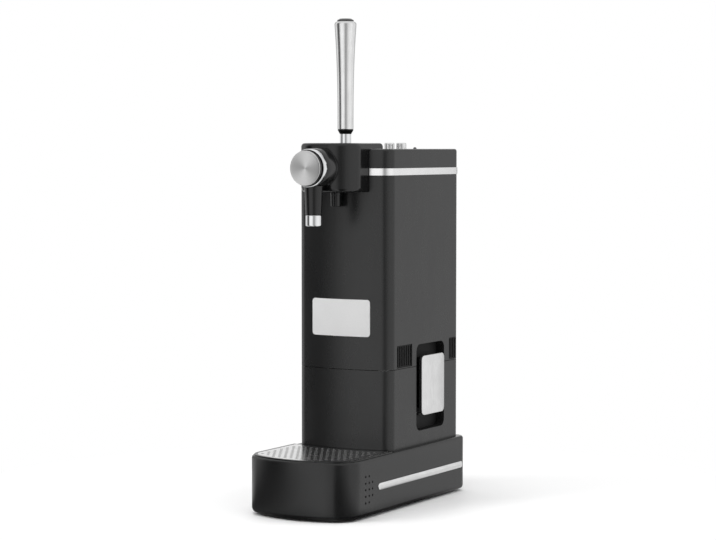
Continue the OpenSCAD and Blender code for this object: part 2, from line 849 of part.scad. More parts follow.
module upper_housing() color([0.12, 0.12, 0.13]) {
    z0 = seam_z + seam_gap;
    step_z = belt_z - 3;
    neck = [col_wall - 0.1, col_wall + 2.1];
    difference() {
        union() {
            difference() {
                slab(z0, belt_z) col_plan(0);
                slab(z0 - 1, step_z) col_plan(col_wall);
                slab(step_z - 1, belt_z + 1) col_plan(neck[1]);
            }
            slab(belt_z - eps, cap_z + 5) difference() {
                col_plan(neck[0]);
                col_plan(neck[1]);
            }
            slab(carrier_z, carrier_z + carrier_t) difference() {
                col_plan(1);
                translate([0, can_y]) circle(r = cup_r + slip);
                translate([0, wire_gap_y]) round_rect(wire_gap_w, wire_gap_l, 5);
            }
            slab(shelf_z - ledge_t, shelf_z) difference() {
                col_plan(1);
                col_plan(col_wall + 3);
            }
            intersection() {
                slab(z0, belt_z) col_plan(0.5);
                both_sides() side_block(pocket_floor - pocket_skin, col_hw) pocket_plan(pocket_skin);
            }
        }
        difference() {
            both_sides() side_block(pocket_floor, col_hw + 2) pocket_plan();
            both_sides() translate([pocket_floor - 1, latch_mid - catch_w / 2, catch_z])
                cube([catch_x - pocket_floor + 1, catch_w, catch_h]);
        }
        vent(col_y0 + front_vent_y, front_slots);
        vent(col_y1 - rear_vent_y, rear_slots);
        translate([-door_w / 2 - slip, bay_y1 - 1, door_z0 - slip])
            cube([door_w + 2 * slip, col_wall + 3, door_h + 2 * slip]);
        door_rod(door_w + 2 * (slip + door_pin_l + 0.4), door_pin_r + pin_clear);
        rod_y(0, line_z, col_y0 - 2, col_y0 + 8, tube_r + 1);
        translate([-lever_gap_hw, col_y0 + col_wall, tail_z - 3])
            cube([2 * lever_gap_hw, 5, cap_z + 8 - tail_z]);
        for (p = chamber_screw_at) {
            post(p[0], p[1], carrier_z - 1, carrier_z + carrier_t - 1, screw_r);
        }
    }
}

module belt() color("silver") slab(belt_z, cap_z) difference() {
    col_plan(-belt_proud);
    col_plan(col_wall - 0.1);
    translate([-head_w / 2 - slip, col_y0 - 5]) square([head_w + 2 * slip, 20]);
}

module top_cap() color([0.12, 0.12, 0.13]) {
    edge_z = col_top - cap_edge_r;
    difference() {
        union() {
            slab(cap_z, edge_z) col_plan(0);
            rounded(edge_z, cap_edge_r) col_plan($in);
        }
        slab(cap_z - 1, cap_under) col_plan(col_wall - 0.2);
        translate([-lever_gap_hw, col_y0 - 2, cap_z - 1])
            cube([2 * lever_gap_hw, lever_gap_y - col_y0 + 2, cap_h + 2]);
        for (s = [-1, 1]) {
            post(s * button_pitch / 2, button_mid, cap_under - 1, col_top + 1, button_r + slip);
        }
        post(lamp_x, button_mid, cap_under - 1, col_top + 1, lamp_r);
    }
    for (sx = [-1, 1], sy = [-1, 1]) {
        x = sx * (board_w / 2 - 4);
        post(x, button_mid + sy * (board_l / 2 - 4), board_z + board_t, cap_under + eps, 2.5);
    }
}

module blank_label() color("white") {
    nose_y = col_y0 + col_nose_r;
    z_mid = deck_z + label_z + label_h / 2;
    intersection() {
        translate([0, nose_y, z_mid - label_h]) difference() {
            cylinder(h = 2 * label_h, r = col_nose_r + label_t, $fn = 180);
            translate([0, 0, -1]) cylinder(h = 2 * label_h + 2, r = col_nose_r + 0.1, $fn = 180);
        }
        translate([0, col_y0 + label_reach, z_mid]) rotate([90, 0, 0]) linear_extrude(2 * label_reach)
            round_rect(label_w, label_h, label_round);
    }
}

module can_chamber() color([0.8, 0.8, 0.82]) {
    difference() {
        union() {
            tube_post(0, can_y, chamber_z, chamber_top, cup_r);
            tube_post(0, can_y, chamber_z, carrier_z, cup_r + chamber_lip_w);
            post(0, tube_y, chamber_top - eps, chamber_top + nipple_h, tube_bore_r);
            post(hose_x, hose_y, chamber_top - eps, chamber_top + nipple_h, hose_bore_r);
        }
        tube_post(0, can_y, chamber_z - 1, ceiling_z, cup_bore_r);
        post(0, tube_y, ceiling_z - 1, chamber_top + nipple_h + 1, tube_bore_r / 2);
        post(hose_x, hose_y, ceiling_z - 1, chamber_top + nipple_h + 1, hose_bore_r / 2);
        for (p = chamber_screw_at) {
            post(p[0], p[1], chamber_z - 1, carrier_z + 1, screw_r + 0.1);
        }
    }
    difference() {
        post(0, tube_y, ceiling_z - 6, ceiling_z + eps, tube_r + 1.5);
        post(0, tube_y, ceiling_z - 7, ceiling_z + 1, tube_r);
    }
}

module chamber_screws() color("silver") {
    for (p = chamber_screw_at) {
        post(p[0], p[1], chamber_z - 1.4, chamber_z, 2.4);
        post(p[0], p[1], chamber_z - eps, carrier_z + carrier_t - 1.2, screw_r);
    }
}

module dip_tube() color([0.9, 0.9, 0.9, 0.8]) difference() {
    post(0, tube_y, can_z + 4, ceiling_z, tube_r);
    post(0, tube_y, can_z + 3, ceiling_z + 1, tube_bore_r);
}

// Round bar along straight runs at one x, with round elbows; points are [y, z].
// Both ends are made longer by over.
module bent_rod(points, x, r, over = 0) {
    last = len(points) - 2;
    for (i = [0 : last]) {
        a = points[i];
        b = points[i + 1];
        start = i == 0 ? over : 0;
        end = i == last ? over : 0;
        translate([x, a[0], a[1]]) rotate([atan2(a[0] - b[0], b[1] - a[1]), 0, 0]) translate([0, 0, -start])
            cylinder(h = norm(b - a) + start + end, r = r, $fn = 32);
    }
    for (i = [1 : last]) {
        translate([x, points[i][0], points[i][1]]) sphere(r = r, $fn = 32);
    }
}

module bent_tube(points, x, r, bore_r) color([0.9, 0.9, 0.9, 0.8]) difference() {
    bent_rod(points, x, r);
    bent_rod(points, x, bore_r, 1);
}

module pump_shelf() color([0.3, 0.3, 0.3]) difference() {
    slab(shelf_z, shelf_z + shelf_t) col_plan(col_wall + 0.2);
    post(0, tube_y, shelf_z - 1, shelf_z + shelf_t + 1, tube_r + 0.6);
    post(hose_x, hose_y, shelf_z - 1, shelf_z + shelf_t + 1, hose_r + 0.6);
    translate([wire_hole_x, pump_y, shelf_z - 1]) cylinder(h = shelf_t + 2, r = wire_hole_r);
}

module pump_motor() color("silver") {
    post(hose_x, pump_y, shelf_z + shelf_t, pump_z, motor_r);
}

module pump_head() color([0.15, 0.15, 0.16]) {
    translate([hose_x, pump_y, pump_z + pump_h / 2]) difference() {
        cube([pump_w, pump_w, pump_h], center = true);
        for (s = [-1, 1], t = [-1, 1]) {
            translate([s * pump_w / 2, t * pump_w / 2, 0])
                cube([2 * pump_notch, 2 * pump_notch, pump_h + 2], center = true);
        }
    }
}

module battery_holder() color([0.1, 0.1, 0.1]) {
    hw = door_w / 2 + 3.5;
    z0 = door_z0 - 3.5;
    difference() {
        translate([-hw, bay_y1 - bay_d - bay_wall, z0]) cube([2 * hw, bay_d + bay_wall, door_h + 7]);
        translate([-bay_hw, bay_y1 - bay_d, cell_z - 1.5]) cube([2 * bay_hw, bay_d + 1, cell_l + 3]);
    }
    for (i = [-1 : 1]) {
        translate([i * cell_pitch - 0.4, bay_y1 - bay_d - eps, cell_z - 1.6]) cube([0.8, 6, cell_l + 3.2]);
    }
}

module battery_cells() color([0.55, 0.56, 0.58]) {
    for (i = [0 : 3]) {
        up = i % 2 == 0;
        translate([(i - 1.5) * cell_pitch, cell_y, cell_z]) {
            translate([0, 0, up ? 0 : 1.2]) cylinder(h = cell_l - 1.2, r = cell_r, $fn = 48);
            translate([0, 0, up ? cell_l - 1.2 - eps : 0]) cylinder(h = 1.2 + eps, r = 2.7, $fn = 32);
        }
    }
}

// Round bar along the hinge line of the battery door, in the middle of its round lower edge
module door_rod(l, r) {
    rod_x(col_y1 - door_t / 2, door_z0 + door_t / 2, l, r);
}

module battery_door() color([0.12, 0.12, 0.13]) difference() {
    union() {
        translate([-door_w / 2, col_y1 - door_t, door_z0 + door_t / 2])
            cube([door_w, door_t, door_h - door_t / 2]);
        door_rod(door_w, door_t / 2);
        door_rod(door_w + 2 * (slip + door_pin_l), door_pin_r);
    }
    for (i = [0 : 3]) {
        translate([-9, col_y1 - 0.6, door_z0 + door_h - 14 + i * 2.4]) cube([18, 1, 1.2]);
    }
}

module control_board() color([0.05, 0.3, 0.15]) {
    translate([-board_w / 2, button_mid - board_l / 2, board_z]) cube([board_w, board_l, board_t]);
    for (s = [-1, 1]) {
        translate([s * button_pitch / 2 - 3, button_mid - 3, board_z + board_t - eps]) cube([6, 6, 3.5]);
        post(s * button_pitch / 2, button_mid, board_z + board_t + 3.4, board_z + board_t + 4.4, 1.7);
    }
}

module switch_board() color([0.05, 0.3, 0.15]) {
    translate([-14, switch_board_y, tail_z]) cube([28, board_t, cap_under - tail_z]);
}

// Switch on the upright board, with a plunger whose tip is at the given place
module lever_switch(z0, tip_y, tip_z) color([0.1, 0.1, 0.1]) {
    translate([-switch_w / 2, switch_y, z0]) cube([switch_w, switch_board_y - switch_y, switch_h]);
    translate([-plunger_hw, tip_y, tip_z - plunger_hh])
        cube([2 * plunger_hw, switch_y - tip_y + 1, 2 * plunger_hh]);
}

module push_button(s) color("silver") translate([s * button_pitch / 2, button_mid, 0]) {
    post(0, 0, board_z + board_t + 4.4 + button_travel + 0.3, cap_under, 2.6);
    post(0, 0, cap_under - button_flange_t - 0.1, cap_under - 0.1, button_flange_r);
    post(0, 0, cap_under - 0.2, col_top + button_proud - 1, button_r);
    post(0, 0, col_top + button_proud - 1 - eps, col_top + button_proud, button_r - 0.6);
}

module status_light() color([0.15, 0.15, 0.15]) {
    post(lamp_x, button_mid, board_z + board_t, col_top, lamp_r);
    translate([lamp_x, button_mid, col_top]) sphere(r = lamp_r, $fn = 32);
}

// Outline of the tap block and its flange, drawn inset by t
module head_plan(y1, rear_r, t = 0) {
    hw = head_w / 2;
    for (s = [-1, 1]) {
        translate([s * (hw - head_corner_r), head_y0 + head_corner_r]) circle(r = head_corner_r - t);
        if (rear_r > 0) {
            translate([s * (hw - rear_r), y1 - rear_r]) circle(r = rear_r - t);
        }
    }
    polygon([
        [-hw + t, head_y0 + head_corner_r], [-hw + head_corner_r, head_y0 + head_corner_r],
        [-hw + head_corner_r, head_y0 + t], [hw - head_corner_r, head_y0 + t],
        [hw - head_corner_r, head_y0 + head_corner_r], [hw - t, head_y0 + head_corner_r],
        [hw - t, y1 - rear_r], [hw - rear_r, y1 - rear_r], [hw - rear_r, y1 - t],
        [-hw + rear_r, y1 - t], [-hw + rear_r, y1 - rear_r], [-hw + t, y1 - rear_r]
    ]);
}

module tap_block() color([0.1, 0.1, 0.1]) {
    back = col_y0 + 12;
    edge_z = head_z + head_edge_r;
    difference() {
        union() {
            difference() {
                union() {
                    slab(edge_z, head_top - head_top_r) head_plan(back, 0);
                    rounded(edge_z, -head_edge_r) head_plan(back, 0, $in);
                }
                slab(head_z - 1, head_top + 1) col_plan(-0.3);
            }
            slab(col_top + 0.1, head_top - head_top_r) head_plan(flange_y1, flange_corner_r);
            rounded(head_top - head_top_r, head_top_r) head_plan(flange_y1, flange_corner_r, $in);
            for (s = [-1, 1]) {
                ear(s * (ear_x + ear_t / 2));
            }
        }
        slab(head_z + head_wall, col_top - head_wall) head_plan(back, 0, head_wall);
        rod_y(0, axis_z, head_y0 - 5, barrel_y1, barrel_r);
        slab(col_top - 5, head_top + 1) translate([0, slot_mid]) {
            square([2 * slot_hw, slot_front + slot_back - 2 * slot_hw], center = true);
            for (s = [-1, 1]) {
                translate([0, s * ((slot_front + slot_back) / 2 - slot_hw)]) circle(r = slot_hw, $fn = 48);
            }
        }
        rod_x(lever_y, lever_z, pin_cut_l, pivot_r);
    }
}

// Ear that hangs from the flange and holds the pivot pin
module ear(x) {
    translate([x - ear_t / 2, lever_y - 5, lever_z]) cube([ear_t, 10, col_top + 1 - lever_z]);
    translate([x, lever_y, lever_z]) rotate([0, 90, 0]) cylinder(h = ear_t, r = 5, center = true, $fn = 48);
}

// Shape turned about the barrel's axis; the profile's x is the radius and its y runs towards the user
module turned(y) {
    translate([0, y, axis_z]) rotate([90, 0, 0]) rotate_extrude() children();
}

// Outer profile of the barrel, from its inner end to its front end
module barrel_profile() {
    polygon([
        [0, 0], [barrel_r, 0], [barrel_r, barrel_in + 3], [barrel_end_r + 0.5, barrel_in + barrel_l * 0.55],
        [barrel_end_r, barrel_in + barrel_l], [0, barrel_in + barrel_l]
    ]);
}

module tap_barrel() color([0.1, 0.1, 0.1]) difference() {
    turned(barrel_y1) difference() {
        barrel_profile();
        translate([0, -1]) square([barrel_bore_r, barrel_y1 - barrel_y0 - barrel_front_t + 1]);
    }
    post(0, spout_y, spout_z, axis_z, spout_neck_r);
}

module barrel_ring() color([0.85, 0.85, 0.85]) turned(barrel_y0) difference() {
    polygon([
        [neck_r - 3, 0], [ring_r - 0.5, 0], [ring_r, 0.5], [ring_r, ring_w - 0.5],
        [ring_r - 0.5, ring_w], [neck_r - 3, ring_w]
    ]);
    square([neck_r - 2.9, ring_w + 1]);
}

module barrel_cap() color([0.7, 0.7, 0.71]) turned(barrel_y0) {
    h = ring_w + disc_gap;
    polygon([
        [0, 0], [neck_r - 3, 0], [neck_r - 3, ring_w], [neck_r, ring_w], [neck_r, h], [disc_r, h],
        [disc_r, h + disc_t - 0.5], [disc_r - 0.5, h + disc_t], [disc_r - 1.6, h + disc_t],
        [disc_r - 2, h + disc_t - 0.4], [0, h + disc_t - 1.2]
    ]);
}

// Foaming disc across the barrel, pierced by the beer line
module foam_disc() color([0.7, 0.6, 0.3]) difference() {
    rod_y(0, axis_z, foam_y, foam_y + 2, barrel_bore_r - 0.05);
    rod_y(0, line_top_z, foam_y - 1, foam_y + 3, tube_r + 0.05);
}

module spout() color([0.08, 0.08, 0.08]) difference() {
    union() {
        difference() {
            translate([0, spout_y, 0]) rotate_extrude() polygon([
                [0, spout_z], [spout_foot_r, spout_z], [spout_top_r, axis_z - 14], [0, axis_z - 14]
            ]);
            turned(barrel_y1) barrel_profile();
            turned(barrel_y0) square([ring_r, ring_w + disc_gap + disc_t]);
        }
        post(0, spout_y, axis_z - barrel_r - 2, spout_neck_top, spout_neck_r);
        post(0, spout_y, spout_z - tip_l / 2, spout_z + eps, spout_bore_r + 1.2);
    }
    post(0, spout_y, spout_z - tip_l, spout_neck_top + 1, spout_bore_r);
}

module spout_tip() color([0.9, 0.9, 0.9]) translate([0, spout_y, tip_z]) rotate_extrude() difference() {
    polygon([
        [spout_bore_r, 0], [tip_r - 0.8, 0], [tip_r - 0.2, 0.5], [tip_r, 1.2], [tip_r, tip_l],
        [spout_bore_r, tip_l]
    ]);
    translate([0, tip_l / 2]) square([spout_bore_r + 1.2, tip_l]);
}

module rear_nozzle() color([0.1, 0.1, 0.1]) translate([0, col_y0 - nozzle_y, head_z - nozzle_l])
    rotate_extrude() polygon([
        [2, 0], [nozzle_r - 0.6, 0], [nozzle_r, 0.6], [nozzle_r, nozzle_l], [2, nozzle_l]
    ]);

module pivot_pin() color("silver") rod_x(lever_y, lever_z, pin_l, pivot_r);

module return_springs() color("silver") {
    for (s = [-1, 1]) {
        translate([s * (hub_hw + ear_x) / 2, lever_y, lever_z]) rotate([0, 90, 0]) difference() {
            cylinder(h = ear_x - hub_hw - 0.4, r = pivot_r + 1.8, center = true, $fn = 48);
            cylinder(h = 10, r = pivot_r + 0.2, center = true, $fn = 48);
        }
    }
}

module lever_yoke() color([0.1, 0.1, 0.1]) difference() {
    union() {
        rod_x(lever_y, lever_z, 2 * hub_hw, hub_r);
        post(0, lever_y, lever_z, stem_foot_z + 3, hub_hw);
        translate([-4, lever_y - tail_t / 2, tail_z]) cube([8, tail_t, lever_z - tail_z]);
    }
    rod_x(lever_y, lever_z, pin_cut_l, pivot_r + pin_clear);
    post(0, lever_y, stem_foot_z, stem_foot_z + 10, stem_r - 1.2);
}

module lever_stem() color([0.88, 0.88, 0.88]) {
    post(0, lever_y, stem_foot_z, stem_foot_z + 3 + eps, stem_r - 1.2);
    post(0, lever_y, stem_foot_z + 3, collar_z, stem_r);
    post(0, lever_y, collar_z - eps, handle_z + stud_l, stud_r);
}

module lever_collar() color([0.1, 0.1, 0.1]) translate([0, lever_y, collar_z]) rotate_extrude() polygon([
    [stud_r, 0], [stem_r + 0.2, 0], [stem_r + 0.5, 0.6], [handle_foot_r, collar_h - 0.8],
    [handle_foot_r, collar_h], [stud_r, collar_h]
]);

// Radius of the handle at a share of its height
function handle_r(u) = handle_foot_r + (handle_top_r - handle_foot_r) * pow(u, handle_swell);

module lever_handle() color([0.75, 0.75, 0.76]) translate([0, lever_y, handle_z]) rotate_extrude() {
    steps = 14;
    body = handle_h - shoulder_h;
    difference() {
        polygon([
            [0, 0],
            for (i = [0 : steps]) [handle_r(i / steps), body * i / steps],
            for (a = [15 : 15 : 90]) [
                handle_top_r - shoulder_h * (1 - cos(a)), body + shoulder_h * sin(a)
            ],
            [0, handle_h]
        ]);
        square([stud_r, stud_l]);
        translate([0, handle_h - 4]) square([stud_r, 5]);
    }
}

module handle_end_cap() color([0.25, 0.25, 0.26]) translate([0, lever_y, handle_top]) rotate_extrude() {
    r = handle_top_r - shoulder_h + 0.4;
    polygon([
        [0, 0], [r, 0], [r, end_cap_h * 0.4], [r - 0.9, end_cap_h * 0.8], [r - 1.8, end_cap_h],
        [0, end_cap_h]
    ]);
    translate([0, -4]) square([stud_r, 4 + eps]);
}

base_shell();
base_plate();
foot(0);  // foot_front_left
foot(1);  // foot_front_right
foot(2);  // foot_rear_left
foot(3);  // foot_rear_right
base_screws();
side_trim(-1);  // side_trim_left
side_trim(1);  // side_trim_right
drip_tray();
drip_grille();
lower_housing();
housing_screws();
can_cup();
can_mat();
cup_seal();
latch_pin(-1);  // latch_pin_left
latch_lever(-1);  // latch_lever_left
latch_plate(-1);  // latch_plate_left
latch_pin(1);  // latch_pin_right
latch_lever(1);  // latch_lever_right
latch_plate(1);  // latch_plate_right
upper_housing();
belt();
top_cap();
blank_label();
can_chamber();
chamber_screws();
dip_tube();
bent_tube(line_run, 0, tube_r, tube_bore_r);  // beer_line
bent_tube(hose_run, hose_x, hose_r, hose_bore_r);  // air_hose
pump_shelf();
pump_motor();
pump_head();
battery_holder();
battery_cells();
battery_door();
control_board();
switch_board();
lever_switch(pour_switch_z, pour_tip_y, pour_tip_z);  // pour_switch
lever_switch(foam_switch_z, foam_tip_y, foam_tip_z);  // foam_switch
push_button(-1);  // power_button
push_button(1);  // foam_button
status_light();
tap_block();
tap_barrel();
barrel_ring();
barrel_cap();
foam_disc();
spout();
spout_tip();
rear_nozzle();
pivot_pin();
return_springs();
lever_yoke();
lever_stem();
lever_collar();
lever_handle();
handle_end_cap();
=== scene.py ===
"""Looks of the counter-top dispenser for canned drinks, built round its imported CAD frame.

The front faces -Y, +Z is up and the worktop is at z = 0. Sizes are written in millimetres, as in the
part's source, and a mesh is turned into metres when it is made. Finishes and the studio use metres.
"""

from __future__ import annotations

import json
import logging
import math
from collections.abc import Callable, Iterable, Sequence
from dataclasses import dataclass, field
from enum import Enum
from typing import Any

import bmesh
import bpy
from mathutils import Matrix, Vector

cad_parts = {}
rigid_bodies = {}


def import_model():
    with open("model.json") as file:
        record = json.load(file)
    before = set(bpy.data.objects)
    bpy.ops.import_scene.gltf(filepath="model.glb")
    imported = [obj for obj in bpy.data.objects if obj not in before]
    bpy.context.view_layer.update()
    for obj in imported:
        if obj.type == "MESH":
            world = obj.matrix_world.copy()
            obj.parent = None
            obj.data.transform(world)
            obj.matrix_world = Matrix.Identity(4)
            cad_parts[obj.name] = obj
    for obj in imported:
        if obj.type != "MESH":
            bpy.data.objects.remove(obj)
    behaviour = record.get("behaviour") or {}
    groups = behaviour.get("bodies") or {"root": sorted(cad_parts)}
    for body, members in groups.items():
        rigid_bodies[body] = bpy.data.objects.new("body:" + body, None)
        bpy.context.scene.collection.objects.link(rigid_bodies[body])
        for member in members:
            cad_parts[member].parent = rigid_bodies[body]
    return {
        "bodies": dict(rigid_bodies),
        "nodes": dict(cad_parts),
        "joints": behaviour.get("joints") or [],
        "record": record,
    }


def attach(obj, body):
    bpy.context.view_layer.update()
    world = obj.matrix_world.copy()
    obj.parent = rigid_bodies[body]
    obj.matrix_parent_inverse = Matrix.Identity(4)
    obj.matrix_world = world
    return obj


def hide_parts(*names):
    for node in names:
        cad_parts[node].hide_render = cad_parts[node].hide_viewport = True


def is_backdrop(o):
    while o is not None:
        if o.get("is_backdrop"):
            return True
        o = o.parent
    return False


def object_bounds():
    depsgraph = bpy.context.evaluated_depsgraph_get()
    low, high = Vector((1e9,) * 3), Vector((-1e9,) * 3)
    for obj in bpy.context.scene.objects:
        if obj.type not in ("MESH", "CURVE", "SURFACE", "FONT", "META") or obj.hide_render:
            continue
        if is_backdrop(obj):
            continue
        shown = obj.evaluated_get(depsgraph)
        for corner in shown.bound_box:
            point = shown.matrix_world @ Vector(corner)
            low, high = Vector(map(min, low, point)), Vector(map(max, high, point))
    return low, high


LOG = logging.getLogger("dispenser")
MM = 0.001

# Lengths below which points count as one: in a profile, and in a mesh that closes on itself.
TINY = 1e-6
MERGE_REACH = 1e-4

# How a profile's corners are rounded: number of parts, share of a side that a rounding may take up,
# and the angle in degrees above which a corner counts as straight.
SOFT_STEPS = 3
SOFT_SHARE = 0.45
SOFT_STRAIGHT = 168

# Number of parts of a bulged plan's front, front corners and back corners.
PLAN_STEPS = (12, 14, 12)

# Angles between faces, in degrees: above them an edge is sharp on a built piece, sharp on a CAD node,
# and broken on a CAD node.
SHARP_BUILT = 32.0
SHARP_CAD = 40.0
BROKEN_CAD = 38.0

# Widths of broken edges on CAD nodes: most nodes, thin walls, small or thin nodes, and none.
PLAIN_EDGE = 0.3
THIN_EDGE = 0.25
FINE_EDGE = 0.2
NO_EDGE = 0.0

# Distance in metres below which points of a CAD node are welded, so that its faces join.
WELD_CAD = 4e-6

Flat = tuple[float, float]
Point = tuple[float, float, float]
Levels = tuple[tuple[float, float], ...]
Colour = tuple[float, float, float, float]
Ring = list[bmesh.types.BMVert]


def grey(level: float, warmth: float = 0.0) -> Colour:
    """Returns a grey of a linear level, a little warmer or, where warmth is negative, cooler."""
    return (level * (1 + warmth), level, level * (1 - warmth), 1.0)


def shade(colour: Colour, factor: float) -> Colour:
    """Returns a colour made lighter or darker by a factor."""
    return (colour[0] * factor, colour[1] * factor, colour[2] * factor, 1.0)


def arc(centre: Flat, radius: float, start: float, end: float, steps: int) -> list[Flat]:
    """Makes points along an arc.

    Args:
        centre: Middle of the arc.
        radius: Radius of the arc.
        start: First angle, in degrees.
        end: Last angle, in degrees.
        steps: Number of parts that the arc is cut into.

    Returns:
        Points from the first angle to the last, both ends among them.
    """
    angles = [math.radians(start + (end - start) * i / steps) for i in range(steps + 1)]
    return [(centre[0] + radius * math.cos(a), centre[1] + radius * math.sin(a)) for a in angles]


def softened(profile: Sequence[Flat], radius: float) -> list[Flat]:
    """Rounds the corners of an open profile.

    Args:
        profile: Points of the profile.
        radius: How far the rounding reaches from each corner.

    Returns:
        The profile with its inner corners rounded.
    """
    points = [profile[0]]
    for before, corner, after in zip(profile, profile[1:], profile[2:]):
        back = Vector(before) - Vector(corner)
        ahead = Vector(after) - Vector(corner)
        shortest = min(back.length, ahead.length)
        if shortest < TINY or back.angle(ahead) > math.radians(SOFT_STRAIGHT):
            points.append(corner)
            continue
        reach = min(radius, SOFT_SHARE * shortest)
        start = Vector(corner) + back.normalized() * reach
        end = Vector(corner) + ahead.normalized() * reach
        for i in range(SOFT_STEPS + 1):
            t = i / SOFT_STEPS
            point = start * (1 - t) ** 2 + Vector(corner) * 2 * t * (1 - t) + end * t**2
            points.append((point.x, point.y))
    points.append(profile[-1])
    return points


@dataclass(frozen=True)
class BulgedPlan:
    """Plan with a bulged front, straight sides and round corners.

    Attributes:
        width: Width between the straight sides.
        front: Place of the foremost point, along Y.
        back: Place of the flat back, along Y.
        nose: Radius of the bulge.
        corner: Radius of the front corners.
        tail: Radius of the back corners.
    """

    width: float
    front: float
    back: float
    nose: float
    corner: float
    tail: float

    def half(self, inset: float, gap: float = 0.0) -> list[Flat]:
        """Makes the right-hand half of the outline.

        Args:
            inset: How far the outline is drawn inside the plan; negative is outside.
            gap: Half the width of a gap that is left open in the middle of the front.

        Returns:
            Points from the front to the back, at the same places for every inset.
        """
        cx = self.width / 2 - self.corner
        nose_y = self.front + self.nose
        cy = nose_y - math.sqrt((self.nose - self.corner) ** 2 - cx**2)
        turn = math.degrees(math.atan2(cx, nose_y - cy))
        start = math.degrees(math.asin(gap / self.nose))
        tx = self.width / 2 - self.tail
        ty = self.back - self.tail
        nose_steps, corner_steps, tail_steps = PLAN_STEPS
        points = arc((0, nose_y), self.nose - inset, -90 + start, -90 + turn, nose_steps)
        points += arc((cx, cy), self.corner - inset, -90 + turn, 0, corner_steps)[1:]
        points += arc((tx, ty), self.tail - inset, 0, 90, tail_steps)
        return points

    def outline(self, inset: float, gap: float = 0.0) -> list[Flat]:
        """Makes the whole outline.

        Args:
            inset: How far the outline is drawn inside the plan; negative is outside.
            gap: Half the width of a gap that is left open in the middle of the front.

        Returns:
            Points counter-clockwise from the middle of the front.
        """
        right = self.half(inset, gap)
        left = [(-x, y) for x, y in reversed(right)]
        return right + (left if gap else left[:-1])


COLUMN_PLAN = BulgedPlan(width=101.8, front=-31.5, back=118.5, nose=159.6, corner=11.8, tail=11.4)


def round_rectangle(width: float, height: float, radius: float, steps: int = 8) -> list[Flat]:
    """Makes the outline of a rectangle with round corners, centred on the origin.

    Args:
        width: Full width.
        height: Full height.
        radius: Radius of the corners.
        steps: Number of parts that each corner is cut into.

    Returns:
        Points of the outline, counter-clockwise.
    """
    x = width / 2 - radius
    y = height / 2 - radius
    points = arc((x, y), radius, 0, 90, steps)
    points += arc((-x, y), radius, 90, 180, steps)
    points += arc((-x, -y), radius, 180, 270, steps)
    return points + arc((x, -y), radius, 270, 360, steps)


class Axis(Enum):
    """Line that a turned piece is turned about."""

    UP = "up"
    FRONT = "front"

    def place(self, origin: Point, radius: float, angle: float, along: float) -> Point:
        """Gives the place of a point of a turned piece.

        Args:
            origin: Point of the axis where the profile's height is 0.
            radius: Distance from the axis.
            angle: Angle round the axis, in radians.
            along: Height along the axis.

        Returns:
            The point in the object's frame.
        """
        u = radius * math.cos(angle)
        v = radius * math.sin(angle)
        x, y, z = origin
        if self is Axis.UP:
            return (x + u, y + v, z + along)
        return (x + u, y - along, z + v)


